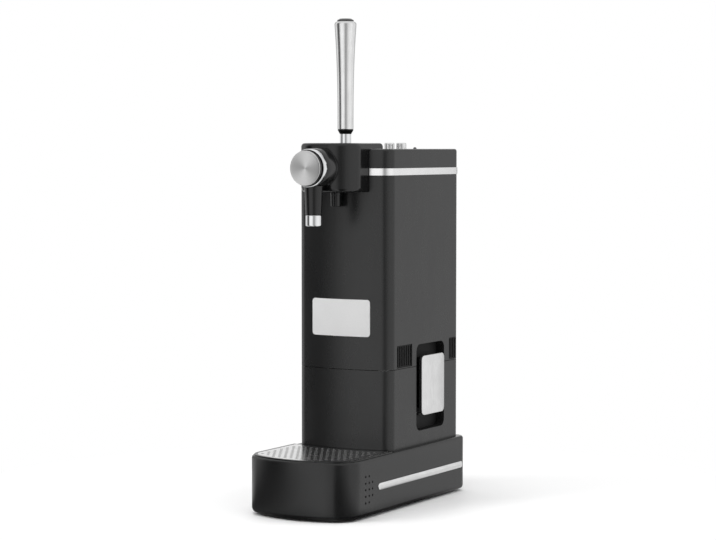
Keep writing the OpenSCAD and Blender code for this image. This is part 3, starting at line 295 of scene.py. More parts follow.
class Skin:
    """Points and faces of one piece, in millimetres, while it is built."""

    def __init__(self) -> None:
        """Starts an empty piece."""
        self.mesh = bmesh.new()

    def ring(self, points: Iterable[Point]) -> Ring:
        """Adds points and returns them as a ring."""
        return [self.mesh.verts.new(point) for point in points]

    def bridge(self, first: Ring, second: Ring, closed: bool = True) -> None:
        """Joins two rings with faces.

        Args:
            first: A ring, or a single point for a fan.
            second: A ring with as many points as the first, or a single point.
            closed: Whether the rings run all the way round.
        """
        count = max(len(first), len(second))
        for i in range(count if closed else count - 1):
            j = (i + 1) % count
            corners = [first[i % len(first)], first[j % len(first)]]
            corners += [second[j % len(second)], second[i % len(second)]]
            unique = list(dict.fromkeys(corners))
            if len(unique) > 2:
                self.mesh.faces.new(unique)

    def loft(self, rings: Sequence[Ring], closed: bool = True) -> None:
        """Joins each ring to the next."""
        for first, second in zip(rings, rings[1:]):
            self.bridge(first, second, closed)

    def lid(self, ring: Ring) -> None:
        """Closes a ring with one flat face."""
        self.mesh.faces.new(ring)

    def solid(self, rings: Sequence[Ring]) -> None:
        """Joins each ring to the next and closes both ends.

        Args:
            rings: Rings from one end to the other.
        """
        self.loft(rings)
        self.lid(rings[0])
        self.lid(rings[-1])

    def strips(self, ring: Ring) -> None:
        """Closes a ring with upright strips.

        Args:
            ring: A ring whose second half runs back opposite its first half.
        """
        last = len(ring) - 1
        for i in range(len(ring) // 2 - 1):
            self.mesh.faces.new((ring[i], ring[i + 1], ring[last - i - 1], ring[last - i]))

    def turn(self, profile: Sequence[Flat], axis: Axis, origin: Point, segments: int) -> None:
        """Adds a turned form, which is closed where its profile ends at its first point.

        Args:
            profile: Points as radius and height; a radius of 0 lies on the axis.
            axis: Line that it is turned about.
            origin: Point of the axis where the height is 0.
            segments: Number of parts round the axis.
        """
        rings = []
        for radius, along in profile:
            count = segments if radius > TINY else 1
            angles = [2 * math.pi * i / segments for i in range(count)]
            rings.append(self.ring(axis.place(origin, radius, a, along) for a in angles))
        self.loft(rings)
        if profile[0] == profile[-1]:
            bmesh.ops.remove_doubles(self.mesh, verts=self.mesh.verts, dist=MERGE_REACH)

    def tube(self, path: Sequence[Point], radius: float, sides: int) -> None:
        """Adds a round bar along a path.

        Args:
            path: Points of the bar's middle line.
            radius: Radius of the bar.
            sides: Number of sides of the bar.
        """
        points = [Vector(p) for p in path]
        rings = []
        across = Vector((0, 0, 1))
        for i, point in enumerate(points):
            ahead = points[min(i + 1, len(points) - 1)] - points[max(i - 1, 0)]
            ahead.normalize()
            across = (across - ahead * across.dot(ahead)).normalized()
            up = ahead.cross(across)
            angles = [2 * math.pi * k / sides for k in range(sides)]
            rings.append(
                self.ring(tuple(point + (across * math.cos(a) + up * math.sin(a)) * radius) for a in angles)
            )
        self.solid(rings)

    def second(self, chosen: Callable[[Vector], bool]) -> None:
        """Gives the second finish to the faces whose middle is chosen."""
        for face in self.mesh.faces:
            face.material_index = int(chosen(face.calc_center_median()))

    def finish(self, name: str, sharp: float = SHARP_BUILT) -> bpy.types.Object:
        """Turns the piece into an object in metres.

        Args:
            name: Name of the object.
            sharp: Angle between faces, in degrees, above which an edge is drawn sharp.

        Returns:
            The object, linked into the scene.
        """
        bmesh.ops.recalc_face_normals(self.mesh, faces=self.mesh.faces)
        bmesh.ops.scale(self.mesh, vec=(MM, MM, MM), verts=self.mesh.verts)
        data = bpy.data.meshes.new(name)
        self.mesh.to_mesh(data)
        self.mesh.free()
        data.shade_smooth()
        data.set_sharp_from_angle(angle=math.radians(sharp))
        piece = bpy.data.objects.new(name, data)
        bpy.context.scene.collection.objects.link(piece)
        return piece


def turned(
    name: str,
    profile: Sequence[Flat],
    axis: Axis,
    origin: Point,
    segments: int,
    sharp: float = SHARP_BUILT,
) -> bpy.types.Object:
    """Makes a piece that is one turned form.

    Args:
        name: Name of the object.
        profile: Points as radius and height.
        axis: Line that the profile is turned about.
        origin: Point of the axis where the height is 0.
        segments: Number of parts round the axis.
        sharp: Angle between faces, in degrees, above which an edge is drawn sharp.

    Returns:
        The piece, linked into the scene.
    """
    skin = Skin()
    skin.turn(profile, axis, origin, segments)
    return skin.finish(name, sharp)


class Graph:
    """Node tree of a material or of the world, with short ways to add nodes to it."""

    def __init__(self, tree: bpy.types.NodeTree) -> None:
        """Keeps the tree.

        Args:
            tree: The tree that nodes are added to.
        """
        self.tree = tree

    def add(self, kind: str, inputs: dict[Any, Any] | None = None, **settings: Any) -> bpy.types.Node:
        """Adds a node.

        Args:
            kind: Blender's name of the node's type.
            inputs: Values or other nodes' outputs, by the name or number of the input.
            **settings: Properties of the node.

        Returns:
            The new node.
        """
        node = self.tree.nodes.new(kind)
        for key, value in settings.items():
            setattr(node, key, value)
        self.feed(node, inputs or {})
        return node

    def feed(self, node: bpy.types.Node, inputs: dict[Any, Any]) -> None:
        """Sets or links inputs of a node.

        Args:
            node: The node.
            inputs: Values or other nodes' outputs, by the name or number of the input.
        """
        for key, value in inputs.items():
            if isinstance(value, bpy.types.NodeSocket):
                self.tree.links.new(value, node.inputs[key])
            else:
                node.inputs[key].default_value = value

    def find(self, kind: str) -> bpy.types.Node:
        """Returns the tree's first node of a type."""
        return next(node for node in self.tree.nodes if node.type == kind)

    def dress(
        self, shader: bpy.types.Node, colour: Any, rough: Any, normal: Any = None, more: Any = None
    ) -> None:
        """Sets or links what a main shader shows.

        Args:
            shader: The material's main shader.
            colour: Base colour.
            rough: Roughness.
            normal: Normal, where the surface has a relief.
            more: Further inputs of the shader, by name.
        """
        self.feed(shader, {"Base Color": colour, "Roughness": rough, **(more or {})})
        if normal is not None:
            self.feed(shader, {"Normal": normal})

    def places(self, scale: Point = (1.0, 1.0, 1.0)) -> bpy.types.NodeSocket:
        """Returns the place on the object, in metres, stretched by a scale."""
        where = self.add("ShaderNodeTexCoord").outputs["Object"]
        return self.add("ShaderNodeMapping", {"Vector": where, "Scale": scale}).outputs[0]

    def parts(self, where: bpy.types.NodeSocket) -> list[bpy.types.NodeSocket]:
        """Returns the X, Y and Z parts of a place or direction."""
        return list(self.add("ShaderNodeSeparateXYZ", {0: where}).outputs)

    def noise(self, where: bpy.types.NodeSocket, scale: float, detail: float = 2.0) -> bpy.types.NodeSocket:
        """Returns a noise between 0 and 1 at a scale."""
        inputs = {"Vector": where, "Scale": scale, "Detail": detail}
        return self.add("ShaderNodeTexNoise", inputs).outputs[0]

    def span(
        self, value: bpy.types.NodeSocket, low: float, high: float, start: float = 0.3, end: float = 0.7
    ) -> bpy.types.NodeSocket:
        """Maps a value to a range.

        Args:
            value: The value.
            low: Result at the start.
            high: Result at the end.
            start: Value that gives low.
            end: Value that gives high.

        Returns:
            The mapped value, kept inside the range.
        """
        inputs = {"Value": value, "From Min": start, "From Max": end, "To Min": low, "To Max": high}
        return self.add("ShaderNodeMapRange", inputs).outputs[0]

    def maths(self, operation: str, *values: Any) -> bpy.types.NodeSocket:
        """Returns the result of a Math node."""
        return self.add("ShaderNodeMath", dict(enumerate(values)), operation=operation).outputs[0]

    def blend(self, first: Any, second: Any, share: float) -> bpy.types.NodeSocket:
        """Returns a sum in which the second value has a share and the first has the rest."""
        rest = self.maths("MULTIPLY", first, 1 - share)
        return self.maths("ADD", rest, self.maths("MULTIPLY", second, share))

    def length(self, vector: bpy.types.NodeSocket) -> bpy.types.NodeSocket:
        """Returns a vector's length."""
        return self.add("ShaderNodeVectorMath", {0: vector}, operation="LENGTH").outputs["Value"]

    def mix(self, share: Any, first: Any, second: Any) -> bpy.types.NodeSocket:
        """Returns a mix of two colours."""
        return self.add("ShaderNodeMix", {0: share, 6: first, 7: second}, data_type="RGBA").outputs[2]

    def bump(
        self, height: bpy.types.NodeSocket, depth: float, strength: float = 1.0, under: Any = None
    ) -> bpy.types.NodeSocket:
        """Makes a bumped normal.

        Args:
            height: Height between 0 and 1.
            depth: Depth of the relief in metres.
            strength: Share of the relief that shows.
            under: A normal that this relief lies on.

        Returns:
            The normal.
        """
        inputs = {"Height": height, "Distance": depth, "Strength": strength}
        if under is not None:
            inputs["Normal"] = under
        return self.add("ShaderNodeBump", inputs).outputs[0]


def blank_material(name: str) -> tuple[bpy.types.Material, Graph]:
    """Makes a new material with Blender's first nodes in it.

    Args:
        name: Name of the material.

    Returns:
        The material, and a graph that adds nodes to it.
    """
    made = bpy.data.materials.new(name)
    made.use_nodes = True
    return made, Graph(made.node_tree)


@dataclass(frozen=True)
class Finish:
    """A surface finish that becomes one material.

    Attributes:
        name: Name of the material.
        slot: The record's material slot that it belongs to; not used.
        colour: Main colour, linear.
        roughness: Mean roughness.
    """

    name: str
    slot: str
    colour: Colour
    roughness: float

    def material(self) -> bpy.types.Material:
        """Gives the finish's material, which is made once.

        Returns:
            The material.
        """
        found = bpy.data.materials.get(self.name)
        if found is not None:
            return found
        made, graph = blank_material(self.name)
        self.paint(graph, graph.find("BSDF_PRINCIPLED"))
        return made

    def paint(self, graph: Graph, shader: bpy.types.Node) -> None:
        """Builds the finish's nodes; each kind of finish has its own."""
        raise NotImplementedError

    def tones(
        self, graph: Graph, value: bpy.types.NodeSocket, dark: float, light: float
    ) -> bpy.types.NodeSocket:
        """Returns the main colour made darker or lighter by a value."""
        return graph.mix(graph.span(value, 0.0, 1.0), shade(self.colour, dark), shade(self.colour, light))


@dataclass(frozen=True)
class MouldedPlastic(Finish):
    """Injection-moulded plastic with a fine eroded grain.

    Attributes:
        grain: Size of the grain in metres.
        depth: Depth of the grain in metres.
        rubbed: Levels in metres whose edges are rubbed a little shinier.
        shine: Specular level.
        sunk: Half width in metres inside which the side walls' recesses get painted shade, a darker colour,
            and a rougher finish.
        sunk_top: Level in metres below which the recesses lie.
        sunk_ends: Front and rear end of the recesses in metres, along Y.
    """

    grain: float = 0.0003
    depth: float = 0.00001
    rubbed: tuple[float, ...] = ()
    shine: float = 0.5
    sunk: float = 0.0
    sunk_top: float = 0.16
    sunk_ends: Flat = (-0.013, 0.1085)

    def paint(self, graph: Graph, shader: bpy.types.Node) -> None:
        """Builds grain, slow colour drift, handling marks, rubbed edges, and painted shade in the side
        walls' recesses.

        Args:
            graph: The material's graph.
            shader: The material's main shader.
        """
        where = graph.places()
        drift = graph.noise(where, scale=22.0, detail=3.0)
        marks = graph.noise(graph.places((1.0, 1.0, 0.35)), scale=60.0, detail=4.0)
        colour = self.tones(graph, drift, 0.88, 1.14)
        rough = graph.span(marks, self.roughness - 0.02, self.roughness + 0.02)
        if self.rubbed:
            rub = self.rub(graph, where)
            colour = graph.mix(rub, colour, shade(self.colour, 2.2))
            rough = graph.maths("SUBTRACT", rough, graph.maths("MULTIPLY", rub, 0.12))
        # Painted shade: the vents and latch pockets are darkened to a quarter of the colour, as if in
        # shadow, and made rougher.
        if self.sunk:
            painted_recess_shade = self.recess(graph, where)
            colour = graph.mix(painted_recess_shade, colour, shade(self.colour, 0.25))
            rough = graph.maths("ADD", rough, graph.maths("MULTIPLY", painted_recess_shade, 0.45))
        pits = graph.noise(where, scale=1 / self.grain)
        waves = graph.noise(where, scale=35.0, detail=1.0)
        normal = graph.bump(waves, depth=0.00006, strength=0.2)
        normal = graph.bump(pits, depth=self.depth, strength=0.6, under=normal)
        graph.dress(shader, colour, rough, normal, {"Specular IOR Level": self.shine})

    def recess(self, graph: Graph, where: bpy.types.NodeSocket) -> bpy.types.NodeSocket:
        """Makes the mask of the vents and latch pockets, which lie below the side walls' faces.

        Args:
            graph: The material's graph.
            where: Place on the object.

        Returns:
            A value that is 1 in a recess and 0 away from it.
        """
        x, y, z = graph.parts(where)
        inside = graph.maths("LESS_THAN", graph.maths("ABSOLUTE", x), self.sunk)
        low = graph.maths("LESS_THAN", z, self.sunk_top)
        behind = graph.maths("GREATER_THAN", y, self.sunk_ends[0])
        before = graph.maths("LESS_THAN", y, self.sunk_ends[1])
        ends = graph.maths("MULTIPLY", behind, before)
        return graph.maths("MULTIPLY", graph.maths("MULTIPLY", inside, low), ends)

    def rub(self, graph: Graph, where: bpy.types.NodeSocket) -> bpy.types.NodeSocket:
        """Makes the mask of the rubbed edges.

        Args:
            graph: The material's graph.
            where: Place on the object.

        Returns:
            A value that is 1 on a rubbed edge and 0 away from it.
        """
        height = graph.parts(where)[2]
        mask = None
        for level in self.rubbed:
            away = graph.maths("ABSOLUTE", graph.maths("SUBTRACT", height, level))
            near = graph.span(away, 0.55, 0.0, 0.0002, 0.0009)
            mask = near if mask is None else graph.maths("MAXIMUM", mask, near)
        patches = graph.span(graph.noise(where, scale=130.0, detail=3.0), 0.15, 1.0, 0.4, 0.62)
        return graph.maths("MULTIPLY", mask, patches)


class Grain(Enum):
    """Direction of the fine lines in a metal's surface."""

    ALONG_X = (0.02, 1.0, 1.0)
    ALONG_Y = (1.0, 0.02, 1.0)
    ALONG_Z = (1.0, 1.0, 0.02)
    ROUND_UP = (1.0, 1.0, 40.0)
    SPUN = (1.0, 0.0, 1.0)
    CAST = (1.0, 1.0, 1.0)


@dataclass(frozen=True)
class WorkedMetal(Finish):
    """Brushed, spun or turned metal.

    Attributes:
        grain: Direction of the fine lines.
        pitch: Distance between the lines in metres.
        depth: Depth of the lines in metres.
        stretch: Anisotropy of the highlights.
        middle: Axis of a spun face, as x and z in metres.
        wedge: How strongly a spun face's colour gets painted highlight and shade wedges round its axis.
        tilt: Turn of a spun face's painted highlight wedges from level, in degrees.
        punched: Level in metres below which the metal gets painted shade, a near-black colour, and is
            rougher, as in the plate's holes and under it.
    """

    grain: Grain = Grain.CAST
    pitch: float = 0.0003
    depth: float = 0.000004
    stretch: float = 0.0
    middle: Flat = (0.0, 0.0)
    wedge: float = 0.0
    tilt: float = 78.0
    punched: float = 0.0

    def paint(self, graph: Graph, shader: bpy.types.Node) -> None:
        """Builds the lines in colour, roughness and relief, with handling marks over them, painted highlight
        wedges on a spun face, and painted shade below a level.

        Args:
            graph: The material's graph.
            shader: The material's main shader.
        """
        where = graph.places()
        lines = self.lines(graph)
        marks = graph.noise(where, scale=90.0, detail=4.0)
        tone = graph.blend(lines, marks, 0.3)
        share = graph.span(tone, 0.0, 1.0)
        # Painted highlight: the fan's wedges lighten and darken the colour round a spun face's axis,
        # standing in for the reflections of spun metal.
        if self.wedge:
            share = graph.blend(share, self.fan(graph), self.wedge)
        dark = shade(self.colour, 0.86 - 0.3 * self.wedge)
        colour = graph.mix(share, dark, shade(self.colour, 1.06 + 0.3 * self.wedge))
        rough = graph.span(tone, self.roughness + 0.05, self.roughness - 0.05)
        # Painted shade: below this level, in the holes and under the plate, the colour is darkened to near
        # black, as if in shadow, and made rougher.
        if self.punched:
            inside = graph.maths("LESS_THAN", graph.parts(where)[2], self.punched)
            colour = graph.mix(inside, colour, shade(self.colour, 0.06))
            rough = graph.maths("ADD", rough, graph.maths("MULTIPLY", inside, 0.3))
        normal = graph.bump(lines, depth=self.depth, strength=0.7)
        graph.dress(shader, colour, rough, normal, {"Metallic": 1.0, "Anisotropic": self.stretch})
        if self.stretch:
            axis = "Y" if self.grain is Grain.SPUN else "Z"
            tangent = graph.add("ShaderNodeTangent", direction_type="RADIAL", axis=axis)
            graph.feed(shader, {"Tangent": tangent.outputs[0]})

    def lines(self, graph: Graph) -> bpy.types.NodeSocket:
        """Makes the pattern of the lines.

        Args:
            graph: The material's graph.

        Returns:
            A value between 0 and 1.
        """
        if self.grain is not Grain.SPUN:
            return graph.noise(graph.places(self.grain.value), scale=1 / self.pitch)
        across, upward = self.offset(graph)
        squares = graph.maths("MULTIPLY", across, across), graph.maths("MULTIPLY", upward, upward)
        distance = graph.maths("SQRT", graph.maths("ADD", *squares))
        rings = graph.add("ShaderNodeCombineXYZ", {0: distance}).outputs[0]
        return graph.noise(rings, scale=1 / self.pitch)

    def offset(self, graph: Graph) -> tuple[bpy.types.NodeSocket, bpy.types.NodeSocket]:
        """Gives the distances from a spun face's axis.

        Args:
            graph: The material's graph.

        Returns:
            The distance to the right of the axis and the distance above it.
        """
        x, _, z = graph.parts(graph.places())
        return graph.maths("SUBTRACT", x, self.middle[0]), graph.maths("SUBTRACT", z, self.middle[1])

    def fan(self, graph: Graph) -> bpy.types.NodeSocket:
        """Makes the painted highlight: two light and two dark wedges that stand in for a spun face's
        reflections.

        Args:
            graph: The material's graph.

        Returns:
            A value between 0 and 1 that rises and falls twice round the axis.
        """
        across, upward = self.offset(graph)
        turn = graph.maths("ARCTAN2", upward, across)
        tilted = graph.maths("SUBTRACT", turn, math.radians(self.tilt))
        wave = graph.maths("COSINE", graph.maths("MULTIPLY", tilted, 2.0))
        return graph.span(wave, 0.0, 1.0, -1.0, 1.0)


@dataclass(frozen=True)
class PolishedMetal(Finish):
    """Plated metal with a mirror polish.

    Attributes:
        haze: How much the handling marks change the roughness.
    """

    haze: float = 0.05

    def paint(self, graph: Graph, shader: bpy.types.Node) -> None:
        """Builds the polish with wipe marks and a faint unevenness of the plating.

        Args:
            graph: The material's graph.
            shader: The material's main shader.
        """
        wipes = graph.noise(graph.places((1.0, 1.0, 0.3)), scale=240.0, detail=4.0)
        rough = graph.span(wipes, self.roughness, self.roughness + self.haze, 0.4, 0.8)
        normal = graph.bump(graph.noise(graph.places(), scale=180.0), depth=0.00002, strength=0.5)
        graph.dress(shader, self.tones(graph, wipes, 0.95, 1.03), rough, normal, {"Metallic": 1.0})


@dataclass(frozen=True)
class Rubber(Finish):
    """Soft moulded rubber or silicone."""

    def paint(self, graph: Graph, shader: bpy.types.Node) -> None:
        """Builds a dusty, matt surface with a fine pitting.

        Args:
            graph: The material's graph.
            shader: The material's main shader.
        """
        where = graph.places()
        dust = graph.noise(where, scale=300.0, detail=5.0)
        colour = graph.mix(graph.span(dust, 0.0, 1.0, 0.35, 0.75), self.colour, shade(self.colour, 1.7))
        rough = graph.span(dust, self.roughness - 0.05, self.roughness + 0.08)
        normal = graph.bump(graph.noise(where, scale=2500.0), depth=0.00002, strength=0.7)
        graph.dress(shader, colour, rough, normal, {"Specular IOR Level": 0.35})


@dataclass(frozen=True)
class ClearHose(Finish):
    """Milky clear tube."""

    def paint(self, graph: Graph, shader: bpy.types.Node) -> None:
        """Builds a see-through wall with faint lines from the extruder.

        Args:
            graph: The material's graph.
            shader: The material's main shader.
        """
        lines = graph.noise(graph.places((1.0, 1.0, 0.05)), scale=900.0)
        rough = graph.span(lines, self.roughness, self.roughness + 0.1)
        normal = graph.bump(lines, depth=0.00002, strength=0.5)
        clear = {"Transmission Weight": 0.6, "IOR": 1.41}
        graph.dress(shader, self.tones(graph, lines, 0.92, 1.0), rough, normal, clear)


@dataclass(frozen=True)
class LabelFilm(Finish):
    """Blank film under a thin varnish."""

    def paint(self, graph: Graph, shader: bpy.types.Node) -> None:
        """Builds a faint paper tone under a glossy coat.

        Args:
            graph: The material's graph.
            shader: The material's main shader.
        """
        where = graph.places()
        fibres = graph.noise(where, scale=900.0, detail=4.0)
        tone = graph.blend(fibres, graph.noise(where, scale=40.0), 0.5)
        rough = graph.span(fibres, self.roughness - 0.04, self.roughness + 0.06)
        normal = graph.bump(fibres, depth=0.000006, strength=0.5)
        varnish = {"Coat Weight": 0.4, "Coat Roughness": 0.12}
        graph.dress(shader, self.tones(graph, tone, 0.95, 1.02), rough, normal, varnish)


@dataclass(frozen=True)
class CircuitBoard(Finish):
    """Lacquered board with copper tracks under the lacquer."""

    def paint(self, graph: Graph, shader: bpy.types.Node) -> None:
        """Builds square-cornered tracks from a cell pattern.

        Args:
            graph: The material's graph.
            shader: The material's main shader.
        """
        where = graph.places()
        inputs = {"Vector": where, "Scale": 260.0}
        cells = graph.add("ShaderNodeTexVoronoi", inputs, feature="DISTANCE_TO_EDGE", distance="CHEBYCHEV")
        tracks = graph.span(cells.outputs["Distance"], 1.0, 0.0, 0.05, 0.09)
        colour = graph.mix(tracks, self.colour, shade(self.colour, 2.4))
        film = graph.noise(where, scale=500.0, detail=3.0)
        rough = graph.span(film, self.roughness - 0.05, self.roughness + 0.05)
        graph.dress(shader, colour, rough, graph.bump(tracks, depth=0.00004, strength=0.5))


@dataclass(frozen=True)
class CellJacket(Finish):
    """Shrink-wrapped battery cell with a band in a second colour.

    Attributes:
        band: Colour of the band round the upper end.
        band_from: Level in metres where the band starts.
        band_edge: Half the height in metres over which the colours meet.
    """

    band: Colour = (0.5, 0.28, 0.1, 1.0)
    band_from: float = 0.231
    band_edge: float = 0.0001

    def paint(self, graph: Graph, shader: bpy.types.Node) -> None:
        """Builds the jacket, its band and fine wrinkles of the film.

        Args:
            graph: The material's graph.
            shader: The material's main shader.
        """
        height = graph.parts(graph.places())[2]
        low, high = self.band_from - self.band_edge, self.band_from + self.band_edge
        upper = graph.span(height, 0.0, 1.0, low, high)
        wrinkles = graph.noise(graph.places((1.0, 1.0, 0.1)), scale=300.0, detail=3.0)
        colour = graph.mix(upper, self.colour, self.band)
        worn = graph.mix(graph.span(wrinkles, 0.0, 0.25), colour, grey(0.02))
        rough = graph.span(wrinkles, self.roughness - 0.08, self.roughness + 0.08)
        normal = graph.bump(wrinkles, depth=0.00004, strength=0.5)
        graph.dress(shader, worn, rough, normal, {"Metallic": 0.5})


@dataclass(frozen=True)
class LampLens(Finish):
    """Smoked lens of the status light, unlit."""

    def paint(self, graph: Graph, shader: bpy.types.Node) -> None:
        """Builds a dark clear lens with fine facets behind it.

        Args:
            graph: The material's graph.
            shader: The material's main shader.
        """
        facets = graph.add("ShaderNodeTexVoronoi", {"Vector": graph.places(), "Scale": 1800.0}).outputs[0]
        rough = graph.span(facets, self.roughness, self.roughness + 0.06)
        coat = {"Coat Weight": 1.0, "Coat Roughness": 0.05}
        graph.dress(shader, self.tones(graph, facets, 1.0, 2.0), rough, None, coat)


# The body's sunk half width paints shade into the side walls' vents and latch pockets.
BODY_BLACK = MouldedPlastic(
    "body_black_satin", "body_black", grey(0.0085, -0.02), 0.28, rubbed=(0.3412,), shine=0.55, sunk=0.0503
)
BASE_BLACK = MouldedPlastic("base_black_satin", "body_black", grey(0.006, -0.02), 0.24, shine=0.56)
TRAY_BLACK = MouldedPlastic("tray_black_satin", "body_black", grey(0.0065, -0.02), 0.28, shine=0.56)
TAP_BLACK = MouldedPlastic("tap_black_gloss", "tap_black", grey(0.006, -0.02), 0.15, depth=0.000003)
SWITCH_BLACK = MouldedPlastic("switch_black_matt", "switch_black", grey(0.02), 0.5)
SHELF_GREY = MouldedPlastic("shelf_grey_moulded", "shelf_grey", grey(0.12), 0.5)
CAP_GREY = MouldedPlastic("cap_grey_moulded", "cap_grey", grey(0.055), 0.33, depth=0.000004)
FOOT_RUBBER = Rubber("foot_rubber_pitted", "foot_rubber", grey(0.03), 0.8)
SEAL_RUBBER = Rubber("seal_silicone", "seal_rubber", grey(0.32), 0.55)
SCREW_STEEL = WorkedMetal("screw_steel_zinc", "screw_steel", grey(0.55), 0.3)
TRIM_SILVER = WorkedMetal("trim_silver_satin", "silver_trim", grey(0.90), 0.24, Grain.ALONG_Y)
BELT_SILVER = WorkedMetal("belt_silver_satin", "silver_trim", grey(0.95), 0.20, Grain.ROUND_UP)
# The plate's punched level paints shade into its holes and underside.
PLATE_STEEL = WorkedMetal(
    "perforated_steel_brushed", "perforated_steel", grey(0.78), 0.24, Grain.ALONG_X, punched=0.05606
)
CUP_ALUMINIUM = WorkedMetal("cup_aluminium_drawn", "cup_aluminium", grey(0.72), 0.34, Grain.ROUND_UP)
LATCH_STEEL = WorkedMetal("latch_steel_brushed", "latch_steel", grey(0.86), 0.24, Grain.ALONG_Z)
MOTOR_STEEL = WorkedMetal("motor_steel_rolled", "motor_steel", grey(0.55), 0.32, Grain.ROUND_UP)
CHROME = PolishedMetal("chrome_polished", "chrome", grey(0.88, -0.01), 0.07)
# The spun face's wedge paints highlight and shade wedges into its colour.
SPUN_STEEL = WorkedMetal(
    "spun_steel_face",
    "spun_steel",
    grey(0.73),
    0.30,
    Grain.SPUN,
    pitch=0.00025,
    depth=0.000006,
    stretch=0.7,
    middle=(0.0, 0.3236),
    wedge=0.8,
)
DISC_BRASS = WorkedMetal("disc_brass_spun", "disc_brass", (0.72, 0.48, 0.2, 1.0), 0.3, Grain.SPUN)
HANDLE_SILVER = WorkedMetal(
    "handle_silver_satin", "handle_silver", grey(0.88), 0.2, Grain.ALONG_Z, pitch=0.0004
)
LABEL_WHITE = LabelFilm("label_white_film", "label_white", grey(0.74), 0.35)
CLEAR_HOSE = ClearHose("clear_hose_milky", "clear_hose", grey(0.85), 0.12)
BOARD_GREEN = CircuitBoard("board_green_lacquer", "board_green", (0.012, 0.12, 0.05, 1.0), 0.35)
CELL_JACKET = CellJacket("cell_jacket_film", "cell_jacket", grey(0.25, -0.05), 0.3)
LAMP_LENS = LampLens("lamp_lens_smoked", "lamp_lens", grey(0.03), 0.12)


def smoothing() -> bpy.types.NodeTree:
    """Makes the node tree of the modifier that shades CAD nodes smooth up to SHARP_CAD.

    Returns:
        The node tree, made once.
    """
    found = bpy.data.node_groups.get("smooth_by_angle")
    if found is not None:
        return found
    tree = bpy.data.node_groups.new("smooth_by_angle", "GeometryNodeTree")
    tree.interface.new_socket("Geometry", in_out="INPUT", socket_type="NodeSocketGeometry")
    tree.interface.new_socket("Geometry", in_out="OUTPUT", socket_type="NodeSocketGeometry")
    graph = Graph(tree)
    source = graph.add("NodeGroupInput").outputs[0]
    angle = graph.add("GeometryNodeInputMeshEdgeAngle").outputs[0]
    limit = math.radians(SHARP_CAD)
    beyond = graph.add("FunctionNodeCompare", {0: angle, 1: limit}, operation="GREATER_THAN")
    faces = graph.add("GeometryNodeSetShadeSmooth", {0: source, 2: True}, domain="FACE").outputs[0]
    inputs = {0: faces, 1: beyond.outputs[0], 2: False}
    edges = graph.add("GeometryNodeSetShadeSmooth", inputs, domain="EDGE").outputs[0]
    graph.add("NodeGroupOutput", {0: edges})
    return tree


class PackedFrame:
    """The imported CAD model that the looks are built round."""

    def __init__(self) -> None:
        """Loads the model and keeps its box."""
        self.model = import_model()
        self.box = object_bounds()

    def keep(self, name: str, finish: Finish, edge: float = PLAIN_EDGE) -> None:
        """Shows a CAD node as it is, with broken edges and a finish.

        Args:
            name: Name of the node.
            finish: The node's finish.
            edge: Width of the broken edges; NO_EDGE leaves them sharp.
        """
        piece = self.model["nodes"][name]
        for slot in piece.material_slots:
            slot.material = finish.material()
        weld = piece.modifiers.new("weld", "WELD")
        weld.merge_threshold = WELD_CAD
        if edge:
            bevel = piece.modifiers.new("edges", "BEVEL")
            bevel.width = edge * MM
            bevel.segments = 2
            bevel.limit_method = "ANGLE"
            bevel.angle_limit = math.radians(BROKEN_CAD)
            bevel.loop_slide = False
        piece.modifiers.new("smooth", "NODES").node_group = smoothing()
        piece.modifiers.new("normals", "WEIGHTED_NORMAL").keep_sharp = True
        LOG.info("kept %s with %s", name, finish.name)

    def add(self, piece: bpy.types.Object, body: str, finish: Finish, *stands_for: str) -> bpy.types.Object:
        """Adds a built piece to the model.

        Args:
            piece: The piece.
            body: Body that it moves with.
            finish: The piece's finish.
            *stands_for: CAD nodes that it replaces.

        Returns:
            The piece.
        """
        piece.data.materials.append(finish.material())
        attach(piece, body)
        if stands_for:
            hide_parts(*stands_for)
        LOG.info("built %s with %s", piece.name, finish.name)
        return piece

    def close(self) -> None:
        """Does nothing; the CAD box is kept in self.box but not written."""


